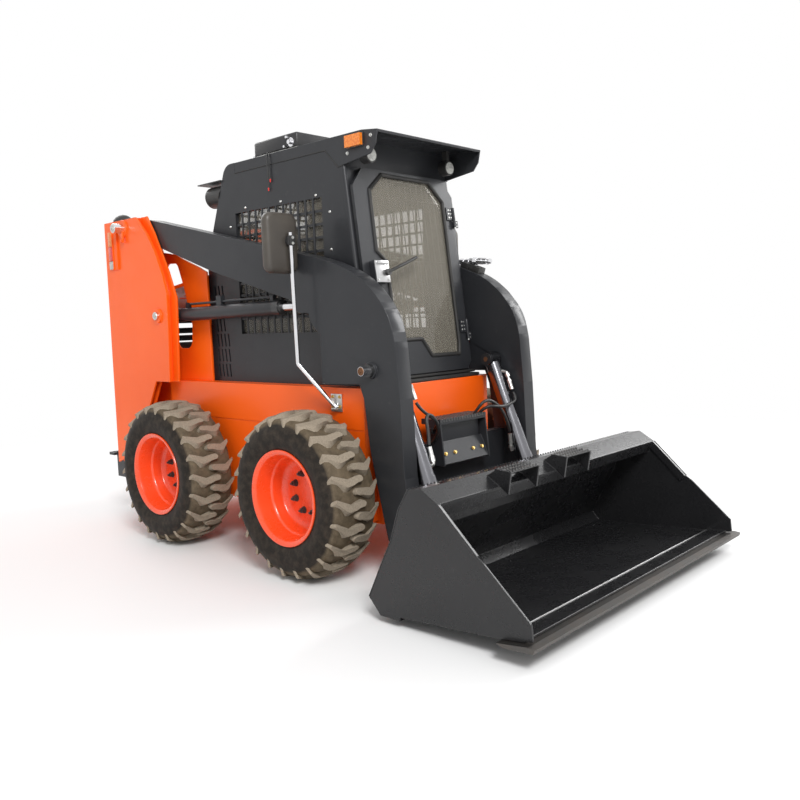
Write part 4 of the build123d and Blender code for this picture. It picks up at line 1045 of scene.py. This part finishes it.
hose = {
    "radius": 0.0082, "pipe": 0.0085, "ferrule": 0.0115, "nut": 0.0135,
    # the cylinder's port, the fitting's two ends, then the hose's route down to the cross plate
    "runs": {
        "hoseFarTop": ((0.404, -0.985, 0.952), ((0.415, -1.040, 0.941), (0.410, -1.076, 0.850)),
                       ((0.409, -1.083, 0.832), (0.415, -1.092, 0.813), (0.405, -1.100, 0.785),
                        (0.362, -1.104, 0.777), (0.290, -1.109, 0.766), (0.220, -1.106, 0.773),
                        (0.175, -1.090, 0.780), (0.150, -1.040, 0.744), (0.150, -1.000, 0.700))),
        "hoseFarLow": ((0.372, -1.100, 0.520), ((0.361, -1.100, 0.520), (0.348, -1.100, 0.606)),
                       ((0.345, -1.102, 0.625), (0.310, -1.110, 0.690), (0.260, -1.105, 0.765),
                        (0.207, -1.096, 0.800), (0.164, -1.090, 0.812), (0.118, -1.089, 0.800),
                        (0.105, -1.045, 0.742), (0.105, -1.000, 0.690))),
        "hoseNearTop": ((-0.404, -0.985, 0.952), ((-0.378, -1.034, 0.944), (-0.371, -1.060, 0.868)),
                        ((-0.370, -1.066, 0.850), (-0.362, -1.078, 0.825), (-0.328, -1.091, 0.793),
                         (-0.286, -1.102, 0.764), (-0.250, -1.100, 0.735), (-0.215, -1.060, 0.720),
                         (-0.190, -1.020, 0.690))),
        "hoseNearLow": ((-0.376, -1.150, 0.545), ((-0.366, -1.160, 0.560), (-0.363, -1.135, 0.635)),
                        ((-0.362, -1.132, 0.648), (-0.352, -1.122, 0.700), (-0.350, -1.110, 0.755),
                         (-0.335, -1.100, 0.788), (-0.300, -1.100, 0.785), (-0.265, -1.104, 0.745),
                         (-0.235, -1.085, 0.695), (-0.205, -1.040, 0.650), (-0.190, -1.000, 0.620))),
    },
    "blocks": ((0.150, -0.988, 0.694), (0.105, -0.988, 0.684), (-0.190, -1.008, 0.686),
               (-0.190, -0.988, 0.616)),
    "blockSize": (0.030, 0.020, 0.030),
}


def layTube(name, route, radius, finish):
    # a mesh tube along a smooth route, with its control points, the points it follows and their length
    points = [at(*point) for point in route]
    curve = bpy.data.curves.new(name, "CURVE")
    curve.dimensions = "3D"
    curve.resolution_u = 12
    spline = curve.splines.new("NURBS")
    spline.points.add(len(points) - 1)
    for control, point in zip(spline.points, points):
        control.co = (*point, 1)
    spline.order_u = 3
    spline.use_endpoint_u = True
    holder = addObject(name, curve)
    path = [vert.co.copy() for vert in bpy.data.meshes.new_from_object(holder).vertices]
    curve.bevel_depth = radius
    curve.bevel_resolution = 4
    curve.use_fill_caps = True
    mesh = bpy.data.meshes.new_from_object(holder)
    bpy.data.objects.remove(holder)
    for face in mesh.polygons:
        face.use_smooth = True
    mesh.materials.clear()
    mesh.materials.append(finishes[finish])
    tube = addObject(name, mesh)
    return tube, points, path, sum((b - a).length for a, b in zip(path, path[1:]))


for name, (port, fitting, route) in hose["runs"].items():
    tube, points, path, length = layTube(name, route, hose["radius"], "hose")
    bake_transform(tube)
    start, end = at(*fitting[0]), at(*fitting[1])
    run = (end - start).normalized()
    bm = bmesh.new()
    roundBar(bm, start, end, hose["pipe"], 20)
    sleeve(bm, start, run, 0.010, 0.026, hose["nut"], 6)
    sleeve(bm, end, run, -0.040, 0.004, hose["ferrule"], 24)
    sleeve(bm, end, run, -0.052, -0.040, hose["nut"], 6)
    bead(bm, [at(*port), start, start + run * 0.01], hose["pipe"], 16)
    keep(bm, f"{name}Fitting", "zinc", body="tilt_barrels")
bm = bmesh.new()
for block in hose["blocks"]:
    slab(bm, at(*block), hose["blockSize"], 0.003)
keep(bm, "hoseBlocks", "blackSteel", body="boom")
print("hoses made")

wire = {
    "radius": 0.0028, "tip": (0.001, -0.016, 0.0046, 14, 0.0036),
    "routes": {
        "roofWireLong": ((-0.352, -0.060, 2.196), (-0.385, -0.064, 2.190), (-0.4135, -0.070, 2.172),
                         (-0.4150, -0.074, 2.120), (-0.4135, -0.080, 2.060), (-0.4140, -0.078, 1.990)),
        "roofWireShort": ((-0.352, -0.085, 2.196), (-0.384, -0.086, 2.188), (-0.4125, -0.090, 2.170),
                          (-0.4150, -0.096, 2.125), (-0.4130, -0.092, 2.080), (-0.4135, -0.096, 2.035)),
    },
}
for name, route in wire["routes"].items():
    tube, points, path, length = layTube(name, route, wire["radius"], "blackPlastic")
    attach(tube, "chassis")
    bm = bmesh.new()
    sleeve(bm, path[-1], zAxis, *wire["tip"])
    tip = keep(bm, f"{name}Tip", "redPlastic")
print("wires made")


# ---- floor, light and camera

studio = {
    "floorHalf": 14, "floorColour": (0.86, 0.86, 0.86), "fadeFrom": 3.2, "fadeTo": 6.0,
    "worldStrengths": (0.62, 1.0),  # on the machine, and seen
    # place, target, size, power
    "lamps": {"keyLight": ((-4.5, -6.5, 6.5), (0, 0, 0.8), 3.0, 640),
              "fillLight": ((6.5, -3.0, 4.5), (0, 0, 0.8), 4.0, 320),
              "rearLight": ((1.0, 7.0, 5.0), (0, 0, 1.0), 4.0, 220)},
    "camera": (-3.2617, -3.6590, 1.2490), "yaw": 0.819906, "pitch": 0.0985039, "roll": -0.0363114,
    "lens": 36.52,
}
bpy.ops.mesh.primitive_plane_add(size=2 * studio["floorHalf"], location=(0, 0, -0.001))
floor = bpy.context.object
floor.name = "floor"
floorPaint = Paint("floorWhite", Base_Color=studio["floorColour"], Roughness=0.9)
# far from the machine the floor fades into the white background, to the camera only
distance = floorPaint.node("ShaderNodeVectorMath", {"operation": "LENGTH", "output": 1}, floorPaint.position())
farAway = floorPaint.ramp(distance, studio["fadeFrom"], studio["fadeTo"])
cameraRay = floorPaint.node("ShaderNodeLightPath", {"output": "Is Camera Ray"})
surface = Tie(floorPaint, floorPaint.shader.outputs[0])
glow = floorPaint.node("ShaderNodeEmission", {}, (1, 1, 1), 1.0)
floorPaint.finish(floorPaint.node("ShaderNodeMixShader", {}, farAway * cameraRay, surface, glow))
floor.data.materials.append(floorPaint.material)

sky = Nodes(bpy.data.worlds.new("studio"))
bpy.context.scene.world = sky.owner
sky.tree.nodes.remove(sky.tree.nodes["Background"])
seen = sky.node("ShaderNodeLightPath", {"output": "Is Camera Ray"})
for ray in ("Is Glossy Ray", "Is Transmission Ray"):
    seen = seen.maths("MAXIMUM", seen, sky.node("ShaderNodeLightPath", {"output": ray}))
dim, plain = (sky.node("ShaderNodeBackground", {}, (1, 1, 1), power) for power in studio["worldStrengths"])
sky.finish(sky.node("ShaderNodeMixShader", {}, seen, dim, plain))

for name, (spot, target, size, power) in studio["lamps"].items():
    light = bpy.data.lights.new(name, "AREA")
    light.shape = "DISK"
    light.size = size
    light.energy = power
    made = addObject(name, light)
    made.location = spot
    made.rotation_euler = (Vector(target) - Vector(spot)).to_track_quat("-Z", "Y").to_euler()

yaw, pitch, roll = studio["yaw"], studio["pitch"], studio["roll"]
ahead = Vector((math.sin(yaw) * math.cos(pitch), math.cos(yaw) * math.cos(pitch), -math.sin(pitch)))
across = Vector((math.cos(yaw), -math.sin(yaw), 0))
upward = across.cross(ahead)
rolledAcross = across * math.cos(roll) + upward * math.sin(roll)
rolledUp = upward * math.cos(roll) - across * math.sin(roll)
lensData = bpy.data.cameras.new("camera")
lensData.lens = studio["lens"]
lensData.sensor_width = 36
camera = addObject("camera", lensData)
turned = Matrix((rolledAcross, rolledUp, -ahead)).transposed().to_4x4()
camera.matrix_world = Matrix.Translation(Vector(studio["camera"]) + datum) @ turned
bpy.context.scene.camera = camera
bpy.context.scene.view_settings.view_transform = "Standard"
print("stage set")
